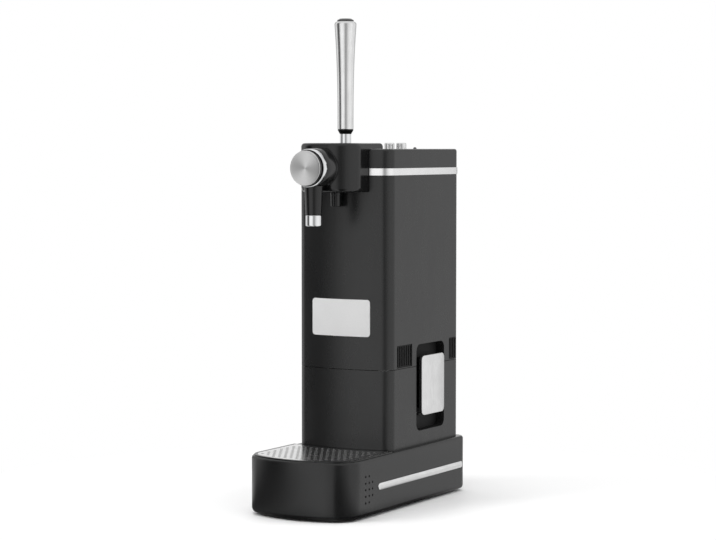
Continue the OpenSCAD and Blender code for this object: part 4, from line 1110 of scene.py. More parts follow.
@dataclass(frozen=True)
class CrossScrew:
    """Screw whose head faces down and has a cross recess.

    Attributes:
        head_r: Radius of the head.
        head_h: Height of the head.
        shank_r: Radius of the shank.
        length: Length of the shank.
        parts: Number of parts round the screw, which is also the number of the cross's corners.
    """

    head_r: float
    head_h: float
    shank_r: float
    length: float
    parts: int = 24

    def group(self, name: str, places: Iterable[Flat], level: float) -> bpy.types.Object:
        """Makes several screws as one piece.

        Args:
            name: Name of the piece.
            places: Places of the screws.
            level: Height of the heads' faces.

        Returns:
            The screws.
        """
        skin = Skin()
        for x, y in places:
            self.add_to(skin, (x, y, level))
        return skin.finish(name)

    def cross(self) -> list[Flat]:
        """Makes the outline of the cross.

        Returns:
            Points in the same order as those of a circle that starts at -45 degrees.
        """
        arm = self.head_r * 0.58
        half = self.head_r * 0.15
        side = ((half, -half), (arm, -half), (arm, 0.0), (arm, half), (half, half), (half * 0.9, half * 1.1))
        points = []
        for quarter in range(4):
            c, s = math.cos(math.radians(90 * quarter)), math.sin(math.radians(90 * quarter))
            points += [(u * c - v * s, u * s + v * c) for u, v in side]
        return points

    def add_to(self, skin: Skin, place: Point) -> None:
        """Adds the screw to a piece.

        Args:
            skin: The piece.
            place: Middle of the head's face.
        """
        x, y, z = place
        start = math.radians(-45)
        angles = [start + 2 * math.pi * i / self.parts for i in range(self.parts)]
        circle = [(math.cos(a), math.sin(a)) for a in angles]
        rings = [skin.ring((x + u * 0.7, y + v * 0.7, z + self.head_h * 0.55) for u, v in self.cross())]
        rings.append(skin.ring((x + u, y + v, z + 0.05) for u, v in self.cross()))
        sections = [
            (self.head_r * share, self.head_h * level)
            for share, level in ((0.72, 0.0), (0.86, 0.06), (0.96, 0.3), (1.0, 0.55), (1.0, 1.0))
        ]
        sections += [(self.shank_r, self.head_h), (self.shank_r, self.head_h + self.length - 0.6)]
        sections.append((self.shank_r * 0.6, self.head_h + self.length))
        for radius, rise in sections:
            rings.append(skin.ring((x + u * radius, y + v * radius, z + rise) for u, v in circle))
        skin.solid(rings)


SHELL_SCREW = CrossScrew(head_r=2.8, head_h=1.8, shank_r=1.5, length=10)
CHAMBER_SCREW = CrossScrew(head_r=2.4, head_h=1.4, shank_r=1.5, length=5.3)


@dataclass
class BaseUnit:
    """Base shell with its plate, feet, screws and side trims.

    Attributes:
        foot_r: Radius of a foot.
        foot_h: Height of a foot.
        foot_at: Places of the feet, by node.
        screw_at: Places of the bottom screws.
        screw_z: Height of the bottom screws' heads.
        trim_front: Front end of the side trims, along Y.
        trim_back: Rear end of the side trims, along Y.
        trim_low: Lower edge of the side trims.
        trim_high: Upper edge of the side trims.
        trim_seat: Place of the trims' back, along X.
        trim_face: Place of the trims' face, along X.
        crown: How far a trim's middle stands out past its edges.
    """

    foot_r: float = 7.5
    foot_h: float = 2.8
    foot_at: dict[str, Flat] = field(
        default_factory=lambda: {
            "foot_front_left": (-42, -88),
            "foot_front_right": (42, -88),
            "foot_rear_left": (-42, 104),
            "foot_rear_right": (42, 104),
        }
    )
    screw_at: tuple[Flat, ...] = ((-43, -28), (43, -28), (-43, 88.5), (43, 88.5))
    screw_z: float = 2.0
    trim_front: float = -56.8
    trim_back: float = 111.5
    trim_low: float = 24.0
    trim_high: float = 30.4
    trim_seat: float = 55.8
    trim_face: float = 58.2
    crown: float = 0.75

    def build(self, frame: PackedFrame) -> None:
        """Builds and dresses the base.

        Args:
            frame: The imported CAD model.
        """
        frame.keep("base_shell", BASE_BLACK)
        frame.keep("base_plate", BASE_BLACK)
        for node, place in self.foot_at.items():
            frame.add(self.foot(node, place), "base", FOOT_RUBBER, node)
        screws = SHELL_SCREW.group("base_cross_screws", self.screw_at, self.screw_z)
        frame.add(screws, "base", SCREW_STEEL, "base_screws")
        for side, word in ((-1, "left"), (1, "right")):
            frame.add(self.trim(side, word), "base", TRIM_SILVER, f"side_trim_{word}")

    def foot(self, node: str, place: Flat) -> bpy.types.Object:
        """Makes a foot with grip rings under it.

        Args:
            node: CAD node that the foot replaces.
            place: Middle of the foot.

        Returns:
            The foot.
        """
        r = self.foot_r
        grip = [(0, 0.3), (r * 0.26, 0.3), (r * 0.3, 0), (r * 0.46, 0), (r * 0.5, 0.35), (r * 0.6, 0.35)]
        rim = [(r * 0.64, 0), (r - 1.2, 0), (r - 0.3, 0.3), (r, 0.9), (r, self.foot_h), (0, self.foot_h)]
        return turned(f"{node}_rubber", softened(grip + rim, 0.25), Axis.UP, (*place, 0.0), segments=64)

    def trim(self, side: int, word: str) -> bpy.types.Object:
        """Makes a crowned trim bar with round ends.

        Args:
            side: -1 for the left, 1 for the right.
            word: Word for the side.

        Returns:
            The trim bar.
        """
        height = self.trim_high - self.trim_low
        length = self.trim_back - self.trim_front
        mid = ((self.trim_front + self.trim_back) / 2, (self.trim_low + self.trim_high) / 2)
        levels = [(self.trim_seat, 0.0), (self.trim_face - self.crown - 0.15, 0.0)]
        parts = 8
        for i in range(parts + 1):
            inset = 0.08 + (height / 2 - 0.1) * (i / parts) ** 1.4
            away = (height / 2 - inset) / (height / 2)
            levels.append((self.trim_face - self.crown * away**2, inset))
        skin = Skin()
        rings = []
        for x, inset in levels:
            flat = round_rectangle(length - 2 * inset, height - 2 * inset, height / 2 - inset - 0.01, 10)
            rings.append(skin.ring((side * x, mid[0] + u, mid[1] + v) for u, v in flat))
        skin.solid(rings)
        return skin.finish(f"side_trim_{word}_bar")


@dataclass
class DripTray:
    """Drip tray and the perforated plate that lies in it.

    Attributes:
        tray_edge: Width of the tray's broken edges.
        plate_edge: Width of the plate's broken edges.
    """

    tray_edge: float = THIN_EDGE
    plate_edge: float = FINE_EDGE

    def build(self, frame: PackedFrame) -> None:
        """Dresses the tray and its plate."""
        frame.keep("drip_tray", TRAY_BLACK, self.tray_edge)
        frame.keep("drip_grille", PLATE_STEEL, self.plate_edge)


@dataclass
class LowerHousing:
    """Fixed lower part of the column, with the cup that the can stands in.

    Attributes:
        screw_at: Places of the housing's screws.
        screw_z: Height of the screws' heads.
        cup_y: Axis of the cup, along Y.
        seal_z: Lower face of the seal ring.
        seal_h: Height of the seal ring.
        seal_in: Inner radius of the seal ring.
        seal_out: Outer radius of the seal ring.
    """

    screw_at: tuple[Flat, ...] = ((-44.3, -12), (44.3, -12), (-44.3, 108), (44.3, 108))
    screw_z: float = 49.4
    cup_y: float = 14.0
    seal_z: float = 153.9
    seal_h: float = 2.4
    seal_in: float = 35.2
    seal_out: float = 37.3

    def build(self, frame: PackedFrame) -> None:
        """Builds and dresses the lower housing.

        Args:
            frame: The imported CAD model.
        """
        frame.keep("lower_housing", BODY_BLACK)
        frame.keep("can_cup", CUP_ALUMINIUM)
        frame.keep("can_mat", FOOT_RUBBER, FINE_EDGE)
        screws = SHELL_SCREW.group("housing_cross_screws", self.screw_at, self.screw_z)
        frame.add(screws, "base", SCREW_STEEL, "housing_screws")
        frame.add(self.seal(), "base", SEAL_RUBBER, "cup_seal")

    def seal(self) -> bpy.types.Object:
        """Makes the seal ring with two soft lips.

        Returns:
            The seal ring.
        """
        mid = (self.seal_in + self.seal_out) / 2
        h = self.seal_h
        lips = [(self.seal_in, 0), (self.seal_out, 0), (self.seal_out, h - 0.5), (self.seal_out - 0.4, h)]
        lips += [(mid + 0.2, h - 0.4), (mid - 0.2, h - 0.4)]
        lips += [(self.seal_in + 0.4, h), (self.seal_in, h - 0.5)]
        return turned("cup_seal_ring", lips + lips[:1], Axis.UP, (0, self.cup_y, self.seal_z), segments=128)


class Side(Enum):
    """Side of the column that a latch is on."""

    LEFT = -1
    RIGHT = 1

    @property
    def word(self) -> str:
        """Word for the side, as the CAD nodes use it."""
        return self.name.lower()


@dataclass
class SideLatch:
    """Latch that holds the upper housing: a lever on a pin, faced with a steel plate.

    Attributes:
        side: Side of the column.
        mid_y: Middle of the plate, along Y.
        low: Lower edge of the plate.
        width: Width of the plate.
        height: Height of the plate.
        face: Place of the plate's face, along X.
        skin_t: Thickness of the plate.
        corner: Radius of the plate's corners.
        crown: How far the plate's middle stands out past its front and rear edges.
        arch: How far the plate's middle stands out past its upper and lower ends.
    """

    side: Side
    mid_y: float = 56.0
    low: float = 83.8
    width: float = 45.4
    height: float = 58.0
    face: float = 55.2
    skin_t: float = 1.5
    corner: float = 5.0
    crown: float = 0.75
    arch: float = 0.15

    def build(self, frame: PackedFrame) -> None:
        """Builds and dresses the latch.

        Args:
            frame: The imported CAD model.
        """
        word = self.side.word
        frame.keep(f"latch_lever_{word}", SWITCH_BLACK)
        frame.keep(f"latch_pin_{word}", SCREW_STEEL, FINE_EDGE)
        frame.add(self.plate(), f"latch_{word}", LATCH_STEEL, f"latch_plate_{word}")

    def plate(self) -> bpy.types.Object:
        """Makes the pressed plate, with a rolled rim and a slightly crowned face.

        Returns:
            The plate.
        """
        z_mid = self.low + self.height / 2
        skin = Skin()
        rings = []
        levels = ((self.skin_t, 0.0), (0.75, 0.0), (0.45, 0.08), (0.2, 0.28), (0.06, 0.62), (0.0, 1.1))
        levels += tuple((0.0, inset) for inset in (2.5, 4.5, 7.5, 11.0, 15.0, 19.0))
        for depth, inset in levels:
            radius = max(self.corner - inset, 0.4)
            flat = round_rectangle(self.width - 2 * inset, self.height - 2 * inset, radius)
            points = []
            for u, v in flat:
                bow = self.crown * (2 * u / self.width) ** 2 + self.arch * (2 * v / self.height) ** 2
                bow = bow if depth < self.skin_t else 0.0
                points.append((self.side.value * (self.face - depth - bow), self.mid_y + u, z_mid + v))
            rings.append(skin.ring(points))
        skin.loft(rings)
        skin.lid(rings[0])
        skin.strips(rings[-1])
        return skin.finish(f"latch_plate_{self.side.word}_pressed")


@dataclass
class UpperHousing:
    """Lift-off upper part of the column, with its belt, label and can chamber.

    Attributes:
        belt_low: Lower edge of the belt.
        belt_high: Upper edge of the belt.
        belt_proud: How far the belt stands out.
        belt_seat: How far inside the column's outline the belt's back is.
        head_gap: Half the width of the gap for the tap block.
        label_w: Width of the label.
        label_low: Lower edge of the label.
        label_h: Height of the label.
        label_t: Thickness of the label.
        label_r: Radius of the label's corners.
        screw_at: Places of the chamber's screws.
        screw_z: Height of the screws' heads.
    """

    belt_low: float = 316.3
    belt_high: float = 323.1
    belt_proud: float = 0.85
    belt_seat: float = 2.9
    head_gap: float = 31.3
    label_w: float = 63.4
    label_low: float = 163.7
    label_h: float = 35.2
    label_t: float = 0.6
    label_r: float = 3.0
    screw_at: tuple[Flat, ...] = ((28.28, 42.28), (-28.28, 42.28), (-28.28, -14.28), (28.28, -14.28))
    screw_z: float = 155.2

    def build(self, frame: PackedFrame) -> None:
        """Builds and dresses the upper housing.

        Args:
            frame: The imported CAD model.
        """
        frame.keep("upper_housing", BODY_BLACK)
        frame.add(self.belt(), "cover", BELT_SILVER, "belt")
        frame.add(self.label(), "cover", LABEL_WHITE, "blank_label")
        frame.keep("can_chamber", CUP_ALUMINIUM)
        screws = CHAMBER_SCREW.group("chamber_cross_screws", self.screw_at, self.screw_z)
        frame.add(screws, "cover", SCREW_STEEL, "chamber_screws")
        frame.keep("dip_tube", CLEAR_HOSE, FINE_EDGE)
        frame.keep("beer_line", CLEAR_HOSE, NO_EDGE)
        frame.keep("air_hose", CLEAR_HOSE, NO_EDGE)

    def belt(self) -> bpy.types.Object:
        """Makes the crowned belt, which stops at both sides of the tap block.

        Returns:
            The belt.
        """
        h = self.belt_high - self.belt_low
        p = self.belt_proud
        section = [(self.belt_seat, 0.0), (-p + 0.3, 0.0), (-p + 0.08, 0.1), (-p + 0.02, 0.4), (-p, 1.2)]
        section += [(-p, h / 2)] + [(inset, h - z) for inset, z in reversed(section)]
        skin = Skin()
        rings = []
        for inset, z in section:
            flat = COLUMN_PLAN.outline(inset, self.head_gap)
            rings.append(skin.ring((x, y, self.belt_low + z) for x, y in flat))
        rings.append(rings[0])
        skin.loft(rings, closed=False)
        skin.lid([ring[0] for ring in rings[:-1]])
        skin.lid([ring[-1] for ring in rings[:-1]])
        return skin.finish("belt_band")

    def label(self) -> bpy.types.Object:
        """Makes the blank label: a film with a soft edge, bent to the column's front.

        Returns:
            The label.
        """
        skin = Skin()
        levels = ((0.1, 0.0), (self.label_t - 0.2, 0.0), (self.label_t - 0.05, 0.07), (self.label_t, 0.25))
        rings = [skin.ring(self.label_ring(proud, inset)) for proud, inset in levels]
        skin.loft(rings)
        skin.strips(rings[0])
        skin.strips(rings[-1])
        return skin.finish("label_blank_film")

    def label_ring(self, proud: float, inset: float) -> list[Point]:
        """Makes an outline of the label on the bulged front.

        Args:
            proud: Distance in front of the housing.
            inset: How far inside the label's edge the outline is.

        Returns:
            Points along the upper edge from the right to the left, and back along the lower edge.
        """
        radius = COLUMN_PLAN.nose + proud
        nose_y = COLUMN_PLAN.front + COLUMN_PLAN.nose
        z_mid = self.label_low + self.label_h / 2
        corner = self.label_r - inset
        reach = self.label_w / 2 - self.label_r
        bend = [math.radians(90 - 15 * i) for i in range(6)]
        right = [(reach + corner * math.sin(a), corner * math.cos(a)) for a in bend]
        parts = 24
        flat = [(reach - 2 * reach * i / parts, corner) for i in range(parts + 1)]
        left = [(-x, rise) for x, rise in reversed(right)]
        points = []
        for x, rise in right + flat + left:
            y = nose_y - math.sqrt(radius**2 - x**2)
            points.append((x, y, self.label_h / 2 - self.label_r + rise))
        upper = [(x, y, z_mid + v) for x, y, v in points]
        lower = [(x, y, z_mid - v) for x, y, v in reversed(points)]
        return upper + lower


@dataclass
class TopCap:
    """Roof of the column with its buttons, its status light and the board under them.

    Attributes:
        roof: Height of the cap's roof.
        mid_y: Place of the buttons, along Y.
        button_x: Distance of a button from the middle plane.
        button_r: Radius of a button.
        button_proud: How far a button stands out of the roof.
        lamp_x: Place of the status light, along X.
        lamp_r: Radius of the status light.
        lamp_foot: How deep the status light reaches under the roof.
    """

    roof: float = 341.2
    mid_y: float = 76.5
    button_x: float = 6.7
    button_r: float = 5.0
    button_proud: float = 6.0
    lamp_x: float = 22.0
    lamp_r: float = 1.8
    lamp_foot: float = 13.4

    def build(self, frame: PackedFrame) -> None:
        """Builds and dresses the top cap.

        Args:
            frame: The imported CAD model.
        """
        frame.keep("top_cap", BODY_BLACK)
        for name, side in (("power", -1), ("foam", 1)):
            piece = self.button(f"{name}_button_capped", side * self.button_x)
            frame.add(piece, f"{name}_button", TRIM_SILVER, f"{name}_button")
        frame.add(self.lamp(), "cover", LAMP_LENS, "status_light")
        frame.keep("control_board", BOARD_GREEN, NO_EDGE)

    def button(self, name: str, x: float) -> bpy.types.Object:
        """Makes a push button with a dished top.

        Args:
            name: Name of the button.
            x: Place of the button, along X.

        Returns:
            The button.
        """
        r = self.button_r
        top = self.button_proud
        low = [(0, -10.0), (2.6, -10.0), (2.6, -4.6), (r + 1.3, -4.6), (r + 1.3, -3.1), (r, -3.1)]
        cap = [(r, top - 1.2), (r - 0.15, top - 0.7), (r - 0.55, top - 0.15), (r - 1.0, top), (r - 1.5, top)]
        dish = [(r - 1.9, top - 0.25), (r * 0.3, top - 0.45), (0, top - 0.5)]
        profile = softened(low + cap + dish, 0.3)
        return turned(name, profile, Axis.UP, (x, self.mid_y, self.roof), segments=72)

    def lamp(self) -> bpy.types.Object:
        """Makes the lens of the status light with its collar.

        Returns:
            The lens.
        """
        r = self.lamp_r
        dome = [(r * math.cos(a), r * math.sin(a)) for a in (math.radians(15 * i) for i in range(7))]
        dome[-1] = (0.0, r)
        foot = [(0, -self.lamp_foot), (r, -self.lamp_foot)]
        place = (self.lamp_x, self.mid_y, self.roof)
        return turned("status_light_lens", foot + dome, Axis.UP, place, segments=40)


@dataclass
class TapHead:
    """Tap block with its barrel, spout and rear nozzle.

    Attributes:
        axis_z: Height of the barrel's axis.
        block_y: Front face of the block, along Y.
        barrel_y: Front end of the barrel, along Y.
        barrel_in: How far the barrel reaches into the block.
        barrel_r: Radius of the barrel at the block.
        barrel_end_r: Radius of the barrel's front end.
        bore_r: Radius of the barrel's bore.
        mouth_r: Radius of the bore's narrow mouth at the front.
        ring_r: Radius of the chrome ring.
        ring_w: Width of the chrome ring.
        ring_in: Inner radius of the chrome ring.
        ring_round: Radius of the chrome ring's shoulders.
        disc_gap: Gap between the ring and the cap.
        disc_r: Radius of the steel cap.
        disc_t: Thickness of the steel cap.
        disc_steel: Depth of the steel at the cap's rim; the rest is black.
        plug_r: Radius of the plug that holds the cap in the ring.
        seat_r: Radius of the black seat between the ring and the cap.
        spout_y: Axis of the spout, along Y.
        spout_low: Lower end of the spout.
        spout_sink: How far below the barrel's axis the spout ends.
        spout_bore: Radius of the spout's bore.
        spout_r: Radius of the spout's lower end.
        spout_top_r: Radius of the spout at the barrel.
        tip_l: Length of the chrome tip.
        tip_r: Radius of the chrome tip.
        nozzle_y: Axis of the rear nozzle, along Y.
        nozzle_low: Lower end of the rear nozzle.
        nozzle_l: Length of the rear nozzle.
        nozzle_r: Radius of the rear nozzle.
        nozzle_bore: Radius of the rear nozzle's bore.
    """

    axis_z: float = 323.6
    block_y: float = -66.7
    barrel_y: float = -83.0
    barrel_in: float = 16.0
    barrel_r: float = 18.8
    barrel_end_r: float = 17.4
    bore_r: float = 14.4
    mouth_r: float = 13.0
    ring_r: float = 17.9
    ring_w: float = 5.4
    ring_in: float = 12.2
    ring_round: float = 0.95
    disc_gap: float = 1.8
    disc_r: float = 16.15
    disc_t: float = 3.5
    disc_steel: float = 0.72
    plug_r: float = 11.9
    seat_r: float = 14.9
    spout_y: float = -78.1
    spout_low: float = 279.8
    spout_sink: float = 16.5
    spout_bore: float = 3.05
    spout_r: float = 7.7
    spout_top_r: float = 8.7
    tip_l: float = 10.2
    tip_r: float = 7.75
    nozzle_y: float = -38.2
    nozzle_low: float = 286.9
    nozzle_l: float = 13.8
    nozzle_r: float = 5.5
    nozzle_bore: float = 2.0

    def build(self, frame: PackedFrame) -> None:
        """Builds and dresses the tap head.

        Args:
            frame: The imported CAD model.
        """
        frame.keep("tap_block", TAP_BLACK)
        frame.add(self.barrel(), "cover", TAP_BLACK, "tap_barrel")
        ring = frame.add(self.ring(), "cover", CHROME, "barrel_ring")
        ring.data.materials.append(TAP_BLACK.material())
        cap = frame.add(self.cap(), "cover", SPUN_STEEL, "barrel_cap")
        cap.data.materials.append(TAP_BLACK.material())
        frame.keep("foam_disc", DISC_BRASS, FINE_EDGE)
        frame.add(self.spout(), "cover", TAP_BLACK, "spout")
        frame.add(self.tip(), "cover", CHROME, "spout_tip")
        frame.add(self.nozzle(), "cover", TAP_BLACK, "rear_nozzle")

    def barrel(self) -> bpy.types.Object:
        """Makes the barrel, with a fine shadow groove where it leaves the block.

        Returns:
            The barrel.
        """
        reach = self.block_y - self.barrel_y
        outer = [(self.barrel_r, -self.barrel_in), (self.barrel_r, 0.25), (self.barrel_r - 0.35, 0.4)]
        outer += [(self.barrel_r - 0.35, 1.0), (self.barrel_r, 1.15)]
        swell = self.barrel_r - self.barrel_end_r
        parts = 16
        for i in range(parts + 1):
            turn = math.radians(90 * i / parts)
            outer.append((self.barrel_end_r + swell * math.cos(turn), 2.0 + (reach - 2.2) * math.sin(turn)))
        outer += [(self.barrel_end_r, reach), (self.mouth_r, reach)]
        inner = [(self.mouth_r, reach - 1.5), (self.bore_r, reach - 1.5), (self.bore_r, -self.barrel_in)]
        profile = softened(outer + inner, 0.5) + [outer[0]]
        place = (0, self.block_y, self.axis_z)
        return turned("tap_barrel_turned", profile, Axis.FRONT, place, segments=128)

    def ring(self) -> bpy.types.Object:
        """Makes the chrome ring with round shoulders, and black within them at the front.

        Returns:
            The ring.
        """
        w = self.ring_w
        bend = [math.radians(15 * i) for i in range(7)]
        reach = self.ring_round
        core = self.ring_r - reach
        low = [(core + reach * math.sin(a), reach - reach * math.cos(a)) for a in bend]
        high = [(radius, w - along) for radius, along in reversed(low)]
        profile = [(self.ring_in, 0)] + low + high + [(self.ring_in, w), (self.ring_in, 0)]
        skin = Skin()
        skin.turn(profile, Axis.FRONT, (0, self.barrel_y, self.axis_z), segments=128)
        skin.second(lambda middle: middle.y < self.barrel_y - w + 0.005)
        return skin.finish("barrel_ring_chromed")

    def cap(self) -> bpy.types.Object:
        """Makes the cap: a spun steel face with a thin rim, on a black seat.

        Returns:
            The cap.
        """
        r = self.disc_r
        start = self.ring_w + self.disc_gap
        end = start + self.disc_t
        back = [(0, 0), (self.plug_r, 0), (self.plug_r, self.ring_w), (self.seat_r, self.ring_w)]
        back += [(self.seat_r, start), (r, start)]
        seat = [(r, end - 0.9), (r - 0.12, end - 0.85), (r - 0.12, end - 0.75), (r, end - 0.7)]
        rim = [(r, end - 0.2), (r - 0.06, end - 0.06), (r - 0.2, end), (r - 0.7, end)]
        face = [(r - 0.95, end - 0.08), (r - 1.15, end - 0.09), (r * 0.5, end - 0.1), (0, end - 0.1)]
        skin = Skin()
        skin.turn(back + seat + rim + face, Axis.FRONT, (0, self.barrel_y, self.axis_z), segments=160)
        skin.second(lambda middle: middle.y > self.barrel_y - end + self.disc_steel)
        return skin.finish("barrel_cap_spun", sharp=24.0)

    def spout(self) -> bpy.types.Object:
        """Makes the tapered spout with its bore.

        Returns:
            The spout.
        """
        rise = self.axis_z - self.spout_sink - self.spout_low
        bore = self.spout_bore
        outer = [(bore, 0), (self.spout_r - 0.4, 0), (self.spout_r, 0.4), (self.spout_r + 0.1, 4.0)]
        outer += [(self.spout_top_r - 0.15, rise - 6), (self.spout_top_r + 0.1, rise - 2.0)]
        outer += [(self.spout_top_r + 0.9, rise), (bore, rise), (bore, 0)]
        place = (0, self.spout_y, self.spout_low)
        return turned("spout_tapered", softened(outer, 0.6), Axis.UP, place, segments=80)

    def tip(self) -> bpy.types.Object:
        """Makes the chrome tip with a rolled lip.

        Returns:
            The tip.
        """
        r = self.tip_r
        h = self.tip_l
        bore = self.spout_bore
        outer = [(bore, 0.4), (r - 1.5, 0.4), (r - 1.1, 0.0), (r - 0.5, 0.1), (r - 0.05, 0.7), (r, 1.4)]
        outer += [(r, h - 0.4), (r - 0.3, h), (4.3, h), (bore, h)]
        place = (0, self.spout_y, self.spout_low - h)
        return turned("spout_tip_chromed", softened(outer + outer[:1], 0.25), Axis.UP, place, segments=96)

    def nozzle(self) -> bpy.types.Object:
        """Makes the rear nozzle with a collar under the block.

        Returns:
            The nozzle.
        """
        r = self.nozzle_r
        h = self.nozzle_l
        outer = [(self.nozzle_bore, 0), (r - 0.8, 0), (r - 0.3, 0.4), (r - 0.25, h - 3.4), (r, h - 3.0)]
        outer += [(r, h), (self.nozzle_bore, h)]
        place = (0, self.nozzle_y, self.nozzle_low)
        return turned("rear_nozzle_turned", softened(outer + outer[:1], 0.3), Axis.UP, place, segments=64)


@dataclass
class TapHandle:
    """Tall tap handle on its stem, with the yoke, pin and springs inside the tap block.

    Attributes:
        pivot_y: Place of the pivot, along Y.
        pivot_z: Height of the pivot.
        stem_low: Lower end of the stem.
        stem_r: Radius of the stem.
        rod_r: Radius of the rod on top of the stem.
        rod_l: Length of the rod.
        collar_z: Lower edge of the collar.
        collar_bore: Radius of the collar's bore, round the rod.
        handle_z: Lower end of the silver handle.
        handle_h: Height of the silver handle.
        foot_r: Radius at the foot of the handle.
        top_r: Radius at the top of the handle.
        swell: How sharply the handle swells towards its top.
        shoulder: Height of the rounded shoulder.
        cap_h: Height of the end cap.
        spring_x: Ends of a return spring, along X.
        spring_r: Radius of a return spring.
        spring_turns: Number of turns of a return spring.
        spring_parts: Number of parts of one turn.
        wire_r: Radius of the springs' wire.
    """

    pivot_y: float = -20.2
    pivot_z: float = 330.9
    stem_low: float = 335.4
    stem_r: float = 5.3
    rod_r: float = 3.0
    rod_l: float = 16.4
    collar_z: float = 355.5
    collar_bore: float = 3.05
    handle_z: float = 359.9
    handle_h: float = 102.0
    foot_r: float = 7.6
    top_r: float = 10.5
    swell: float = 2.6
    shoulder: float = 3.0
    cap_h: float = 2.5
    spring_x: Flat = (5.9, 7.9)
    spring_r: float = 3.6
    spring_turns: int = 3
    spring_parts: int = 26
    wire_r: float = 0.32

    def build(self, frame: PackedFrame) -> None:
        """Builds and dresses the handle.

        Args:
            frame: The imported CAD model.
        """
        frame.keep("lever_yoke", SWITCH_BLACK)
        frame.keep("pivot_pin", SCREW_STEEL, FINE_EDGE)
        frame.add(self.springs(), "cover", SCREW_STEEL, "return_springs")
        frame.add(self.stem(), "tap_lever", CHROME, "lever_stem")
        frame.add(self.collar(), "tap_lever", TAP_BLACK, "lever_collar")
        frame.add(self.grip(), "tap_lever", HANDLE_SILVER, "lever_handle")
        frame.add(self.end_cap(), "tap_lever", CAP_GREY, "handle_end_cap")

    def stem(self) -> bpy.types.Object:
        """Makes the plain chrome stem, with the rod that runs up into the handle.

        Returns:
            The stem.
        """
        r = self.stem_r
        low = self.stem_low
        top = self.collar_z - low
        outer = [(0, 0), (r - 1.2, 0), (r - 1.2, 3.0), (r, 3.0), (r, top)]
        outer += [(self.rod_r, top), (self.rod_r, top + self.rod_l), (0, top + self.rod_l)]
        place = (0, self.pivot_y, low)
        return turned("lever_stem_chromed", softened(outer, 0.25), Axis.UP, place, segments=72)

    def collar(self) -> bpy.types.Object:
        """Makes the flared black collar.

        Returns:
            The collar.
        """
        h = self.handle_z - self.collar_z
        outer = [(self.collar_bore, 0), (self.stem_r + 0.1, 0), (self.stem_r + 0.5, 0.5), (6.6, h * 0.45)]
        outer += [(self.foot_r - 0.1, h - 0.9), (self.foot_r - 0.1, h - 0.25)]
        outer += [(self.foot_r - 0.4, h), (self.collar_bore, h)]
        place = (0, self.pivot_y, self.collar_z)
        return turned("lever_collar_turned", softened(outer + outer[:1], 0.3), Axis.UP, place, segments=80)

    def radius(self, share: float) -> float:
        """Returns the handle's radius at a share of its height."""
        return self.foot_r + (self.top_r - self.foot_r) * share**self.swell

    def grip(self) -> bpy.types.Object:
        """Makes the swelling silver handle with its rounded shoulder.

        Returns:
            The handle.
        """
        body = self.handle_h - self.shoulder
        parts = 40
        side = [(self.radius(i / parts), body * i / parts) for i in range(1, parts + 1)]
        bend = [math.radians(10 * i) for i in range(1, 10)]
        drop = self.shoulder
        top = [(self.top_r - drop * (1 - math.cos(a)), body + drop * math.sin(a)) for a in bend]
        foot = [(0, 0), (self.foot_r - 0.35, 0), (self.foot_r - 0.08, 0.12), (self.foot_r, 0.45)]
        profile = foot + side + top + [(0, self.handle_h)]
        place = (0, self.pivot_y, self.handle_z)
        return turned("lever_handle_satin", profile, Axis.UP, place, segments=112, sharp=28.0)

    def end_cap(self) -> bpy.types.Object:
        """Makes the dark end cap, a low stepped plug with a flat top.

        Returns:
            The end cap.
        """
        r = self.top_r - self.shoulder + 0.4
        h = self.cap_h
        outer = [(0, -0.4), (r, -0.4), (r, h * 0.35), (r - 0.5, h * 0.6), (r - 1.6, h * 0.75)]
        outer += [(r - 2.4, h), (0, h)]
        place = (0, self.pivot_y, self.handle_z + self.handle_h)
        return turned("handle_end_plug", softened(outer, 0.25), Axis.UP, place, segments=64)

    def springs(self) -> bpy.types.Object:
        """Makes the two coil springs beside the yoke.

        Returns:
            Both springs as one piece.
        """
        skin = Skin()
        steps = self.spring_parts * self.spring_turns
        for side in (-1, 1):
            path = []
            for i in range(steps + 1):
                turn = 2 * math.pi * self.spring_turns * i / steps
                x = self.spring_x[0] + (self.spring_x[1] - self.spring_x[0]) * i / steps
                y = self.pivot_y + self.spring_r * math.cos(turn)
                path.append((side * x, y, self.pivot_z + self.spring_r * math.sin(turn)))
            skin.tube(path, self.wire_r, sides=10)
        return skin.finish("return_spring_coils")


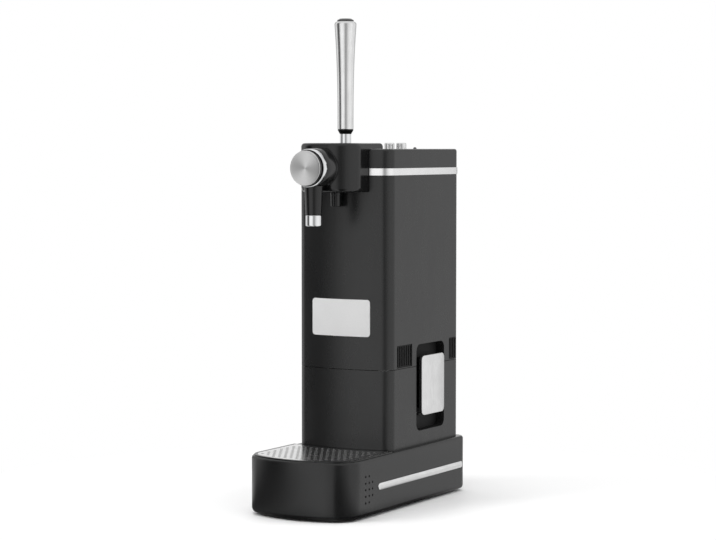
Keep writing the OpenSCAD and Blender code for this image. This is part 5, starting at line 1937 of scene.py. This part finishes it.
@dataclass
class BatteryBay:
    """Cells in the column's back, with their holder and door.

    Attributes:
        cell_r: Radius of a cell.
        cell_l: Length of a cell.
        pitch: Spacing of the cells.
        cell_y: Place of the cells, along Y.
        cell_z: Lower end of the cells.
        bare_l: How far the bare metal ends reach along a cell.
        bare_rim: Width of the jacket's turned-in rim.
    """

    cell_r: float = 7.15
    cell_l: float = 50.5
    pitch: float = 15.5
    cell_y: float = 106.85
    cell_z: float = 191.25
    bare_l: float = 1.45
    bare_rim: float = 1.3

    def build(self, frame: PackedFrame) -> None:
        """Builds and dresses the battery bay.

        Args:
            frame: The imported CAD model.
        """
        frame.keep("battery_holder", SWITCH_BLACK)
        frame.keep("battery_door", BODY_BLACK, THIN_EDGE)
        cells = frame.add(self.cells(), "cover", CELL_JACKET, "battery_cells")
        cells.data.materials.append(SCREW_STEEL.material())

    def cells(self) -> bpy.types.Object:
        """Makes the four cells, every other one upside down, with bare metal ends.

        Returns:
            The cells as one piece.
        """
        skin = Skin()
        r = self.cell_r
        top = self.cell_l - 1.2
        profile = [(0, 0), (r - 1.6, 0), (r - 1.4, 0.25), (r - 0.6, 0.3), (r - 0.1, 0.8), (r, 1.5)]
        profile += [(r, top - 1.5), (r - 0.1, top - 0.8), (r - 0.6, top - 0.2), (r - 1.4, top - 0.2)]
        profile += [(r - 1.6, top), (2.7, top), (2.7, self.cell_l - 0.2)]
        profile += [(2.5, self.cell_l), (0, self.cell_l)]
        for i, x in enumerate(self.rows()):
            up = i % 2 == 0
            placed = profile if up else [(radius, self.cell_l - h) for radius, h in profile]
            skin.turn(placed, Axis.UP, (x, self.cell_y, self.cell_z), segments=48)
        skin.second(self.bare)
        return skin.finish("battery_cell_row")

    def rows(self) -> list[float]:
        """Returns the places of the four cells, along X."""
        return [(i - 1.5) * self.pitch for i in range(4)]

    def bare(self, middle: Vector) -> bool:
        """Tells whether a face of the cells is bare metal.

        Args:
            middle: Middle of the face.

        Returns:
            Whether the face is at a cell's end and inside the jacket's rim.
        """
        flat = abs(middle.z - self.cell_z - self.cell_l / 2) > self.cell_l / 2 - self.bare_l
        nearest = min(abs(middle.x - x) for x in self.rows())
        return flat and math.hypot(nearest, middle.y - self.cell_y) < self.cell_r - self.bare_rim


@dataclass
class InnerWorks:
    """Pump, shelf, boards and switches inside the upper housing.

    Attributes:
        motor_at: Axis of the motor.
        motor_low: Lower end of the motor.
        motor_h: Height of the motor.
        motor_r: Radius of the motor.
    """

    motor_at: Flat = (-20.0, 82.0)
    motor_low: float = 258.0
    motor_h: float = 30.0
    motor_r: float = 12.0

    def build(self, frame: PackedFrame) -> None:
        """Builds and dresses the works.

        Args:
            frame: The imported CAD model.
        """
        frame.keep("pump_shelf", SHELF_GREY)
        frame.keep("pump_head", SWITCH_BLACK)
        frame.add(self.motor(), "cover", MOTOR_STEEL, "pump_motor")
        frame.keep("switch_board", BOARD_GREEN, NO_EDGE)
        frame.keep("pour_switch", SWITCH_BLACK, FINE_EDGE)
        frame.keep("foam_switch", SWITCH_BLACK, FINE_EDGE)

    def motor(self) -> bpy.types.Object:
        """Makes the motor's rolled can with its crimps and raised end.

        Returns:
            The motor.
        """
        r = self.motor_r
        h = self.motor_h
        can = [(0, 0), (r * 0.55, 0), (r * 0.55, 0.8), (r - 0.6, 0.8), (r, 1.6), (r, h * 0.28)]
        can += [(r - 0.4, h * 0.3), (r - 0.4, h * 0.34), (r, h * 0.36), (r, h - 1.0), (r - 0.8, h), (0, h)]
        place = (*self.motor_at, self.motor_low)
        return turned("pump_motor_can", softened(can, 0.5), Axis.UP, place, segments=72)


# Brightness of the walls in reflections, by the turn in degrees from the back round by the left.
WALLS: Levels = (
    (-180, 0.5), (-165, 0.85), (-150, 0.95), (-138, 0.75), (-122, 0.35), (-108, 0.5), (-92, 0.85),
    (-82, 0.9), (-73, 0.5), (-64, 0.18), (-56, 0.07), (-48, 0.05), (-43, 0.1), (-37, 0.42), (-30, 0.78),
    (-20, 1.0), (-8, 1.0), (6, 0.95), (16, 0.72), (26, 0.36), (36, 0.33), (47, 0.5), (62, 0.8),
    (84, 0.95), (100, 0.95), (122, 0.84), (134, 0.8), (143, 0.87), (153, 0.84), (163, 0.5), (180, 0.5),
)  # fmt: skip

# Brightness of the floor in reflections, by the turn round the object's middle.
GROUND: Levels = (
    (-180, 0.6), (-150, 0.8), (-120, 0.5), (-100, 0.6), (-80, 0.8), (-62, 0.5), (-52, 0.1), (-44, 0.07),
    (-37, 0.12), (-30, 0.2), (-24, 0.3), (-18, 0.4), (-12, 0.6), (-7, 0.72), (-2, 0.82), (4, 0.95),
    (13, 1.0), (18, 0.6), (25, 0.06), (38, 0.03), (50, 0.2), (60, 0.55), (70, 0.85), (90, 0.78),
    (120, 0.74), (150, 0.7), (180, 0.6),
)  # fmt: skip


@dataclass(frozen=True)
class SoftBox:
    """Soft area lamp that points at the object, in metres.

    Attributes:
        name: Name of the lamp.
        place: Place of the lamp.
        size: Width and height of the lamp.
        power: Power in watts.
    """

    name: str
    place: Point
    size: Flat
    power: float

    def light(self, target: Point) -> None:
        """Adds the lamp to the scene.

        Args:
            target: Point that the lamp is aimed at.
        """
        data = bpy.data.lights.new(self.name, "AREA")
        data.shape = "RECTANGLE"
        data.size, data.size_y = self.size
        data.energy = self.power
        lamp = bpy.data.objects.new(self.name, data)
        lamp.location = self.place
        aim = Vector(target) - Vector(self.place)
        lamp.rotation_euler = aim.to_track_quat("-Z", "Y").to_euler()
        lamp.visible_camera = False
        lamp.visible_glossy = False
        bpy.context.scene.collection.objects.link(lamp)


@dataclass
class Studio:
    """Floor, soft light and camera.

    Attributes:
        camera_at: Place of the camera in metres.
        camera_tilt: Tilt of the camera from straight down, in degrees.
        camera_turn: Turn of the camera round the upright, in degrees.
        lens: Focal length in millimetres.
        sensor: Width of the camera's sensor in millimetres.
        lamps: The soft lamps.
        aim: Point in metres that the lamps are aimed at.
        foot_print: Half width and half length of the object's base in metres.
        clear: Shares of the footprint between which the painted shadow in the mirrored floor gives way to
            GROUND.
        fade: Distances in metres between which the floor runs out into the background.
        floor_radii: Radii of the floor's rings in millimetres.
        floor_z: Height of the floor in millimetres, just under the feet.
        fill: Strength of the surroundings for matt surfaces.
        ceiling: Brightness straight above.
        ceiling_from: Rises of a direction between which the walls give way to the ceiling.
    """

    camera_at: Point = (1.03811, -1.77118, 0.34385)
    camera_tilt: float = 86.685
    camera_turn: float = 30.33
    lens: float = 107.47
    sensor: float = 36.0
    lamps: tuple[SoftBox, ...] = (
        SoftBox("overhead_softbox", (0.0, -0.1, 2.4), (1.8, 1.8), 34.0),
        SoftBox("left_softbox", (-1.5, -1.7, 1.7), (1.1, 1.3), 30.0),
        SoftBox("right_softbox", (1.7, 0.9, 1.5), (0.8, 1.2), 9.0),
    )
    aim: Point = (0.0, 0.0, 0.2)
    foot_print: Flat = (0.057, 0.122)
    clear: Flat = (1.0, 1.6)
    fade: Flat = (0.16, 0.42)
    floor_radii: tuple[float, ...] = (60, 120, 200, 300, 420)
    floor_z: float = -0.05
    fill: float = 0.75
    ceiling: float = 0.8
    ceiling_from: Flat = (0.35, 0.85)

    def build(self) -> None:
        """Builds the studio."""
        self.camera()
        self.floor()
        self.world()
        for lamp in self.lamps:
            lamp.light(self.aim)
        bpy.context.scene.view_settings.view_transform = "Standard"

    def camera(self) -> None:
        """Sets the camera at the photograph's angle."""
        data = bpy.data.cameras.new("photo_camera")
        data.lens = self.lens
        data.sensor_width = self.sensor
        camera = bpy.data.objects.new("photo_camera", data)
        camera.location = self.camera_at
        camera.rotation_euler = (math.radians(self.camera_tilt), 0.0, math.radians(self.camera_turn))
        bpy.context.scene.collection.objects.link(camera)
        bpy.context.scene.camera = camera

    def floor(self) -> None:
        """Makes the pale floor, a disc that runs out into the white background."""
        skin = Skin()
        profile = [(radius, 0) for radius in (0, *self.floor_radii)]
        skin.turn(profile, Axis.UP, (0, 0, self.floor_z), segments=64)
        floor = skin.finish("studio_floor")
        floor.data.materials.append(self.floor_finish())
        floor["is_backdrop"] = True

    def floor_finish(self) -> bpy.types.Material:
        """Makes the floor's material: matt and pale, white far off, and as GROUND in a mirror, with a
        painted shadow round the base.

        Returns:
            The material.
        """
        made, graph = blank_material("studio_floor_white")
        shader = graph.find("BSDF_PRINCIPLED")
        where = graph.places()
        tone = graph.span(graph.noise(where, scale=6.0), 0.0, 1.0)
        graph.dress(shader, graph.mix(tone, grey(0.90), grey(0.92)), 0.6)
        away = graph.span(graph.length(where), 0.0, 1.0, *self.fade)
        path = graph.add("ShaderNodeLightPath")
        seen = path.outputs["Is Camera Ray"]
        mirrored = self.mirrored(graph, path)
        share = graph.maths("MAXIMUM", graph.maths("MULTIPLY", away, seen), mirrored)
        # Painted shadow: in a mirror the floor is a dark grey emission under and round the base, standing in
        # for the contact shadow, and runs out into GROUND between the shares in clear.
        reach = graph.places((1 / self.foot_print[0], 1 / self.foot_print[1], 0.0))
        beyond_painted_shadow = graph.span(graph.length(reach), 0.0, 1.0, *self.clear)
        ground = graph.mix(beyond_painted_shadow, grey(0.04), self.surroundings(graph, where, GROUND))
        shown = graph.mix(mirrored, grey(1.0), ground)
        light = graph.add("ShaderNodeEmission", {"Color": shown, "Strength": 1.0})
        mixed = graph.add("ShaderNodeMixShader", {0: share, 1: shader.outputs[0], 2: light.outputs[0]})
        graph.feed(graph.find("OUTPUT_MATERIAL"), {"Surface": mixed.outputs[0]})
        return made

    def mirrored(self, graph: Graph, path: bpy.types.Node) -> bpy.types.NodeSocket:
        """Returns 1 for a ray from a mirror or through glass, and 0 for any other."""
        return graph.maths("MAXIMUM", path.outputs["Is Glossy Ray"], path.outputs["Is Transmission Ray"])

    def surroundings(self, graph: Graph, way: bpy.types.NodeSocket, stops: Levels) -> bpy.types.NodeSocket:
        """Makes the brightness of the surroundings by direction.

        Args:
            graph: Graph of the world or of the floor.
            way: Direction, or place on the floor.
            stops: Turn in degrees and brightness of each stop.

        Returns:
            Brightness by the turn from the back, by the left, the front and the right.
        """
        x, y, _ = graph.parts(way)
        turn = graph.maths("ARCTAN2", x, graph.maths("MULTIPLY", y, -1.0))
        share = graph.span(turn, 0.0, 1.0, -math.pi, math.pi)
        node = graph.add("ShaderNodeValToRGB", {0: share})
        ramp = node.color_ramp
        ramp.interpolation = "EASE"
        while len(ramp.elements) > 1:
            ramp.elements.remove(ramp.elements[-1])
        ramp.elements[0].position = 0.0
        ramp.elements[0].color = grey(stops[0][1])
        for degrees, level in stops[1:]:
            ramp.elements.new((degrees + 180) / 360).color = grey(level)
        return node.outputs[0]

    def world(self) -> None:
        """Makes the surroundings: white to the camera, and soft bright and dark walls in reflections."""
        world = bpy.data.worlds.new("studio_world")
        bpy.context.scene.world = world
        world.use_nodes = True
        world.node_tree.nodes.clear()
        graph = Graph(world.node_tree)
        way = graph.add("ShaderNodeTexCoord").outputs["Generated"]
        above = graph.span(graph.parts(way)[2], 0.0, 1.0, *self.ceiling_from)
        walls = graph.mix(above, self.surroundings(graph, way, WALLS), grey(self.ceiling))
        path = graph.add("ShaderNodeLightPath")
        level = graph.span(self.mirrored(graph, path), self.fill, 1.0, 0.0, 1.0)
        soft = graph.add("ShaderNodeBackground", {"Color": walls, "Strength": level})
        seen = graph.add("ShaderNodeBackground", {"Color": grey(1.0), "Strength": 1.0})
        inputs = {0: path.outputs["Is Camera Ray"], 1: soft.outputs[0], 2: seen.outputs[0]}
        mixed = graph.add("ShaderNodeMixShader", inputs)
        graph.add("ShaderNodeOutputWorld", {"Surface": mixed.outputs[0]})


def main() -> None:
    """Builds the dressed dispenser in its studio."""
    logging.basicConfig(level=logging.INFO, format="%(name)s: %(message)s")
    frame = PackedFrame()
    assemblies = (
        BaseUnit(),
        DripTray(),
        LowerHousing(),
        SideLatch(Side.LEFT),
        SideLatch(Side.RIGHT),
        UpperHousing(),
        TopCap(),
        TapHead(),
        TapHandle(),
        BatteryBay(),
        InnerWorks(),
    )
    for assembly in assemblies:
        assembly.build(frame)
        LOG.info("finished %s", type(assembly).__name__)
    Studio().build()
    frame.close()


if __name__ == "__main__":
    main()
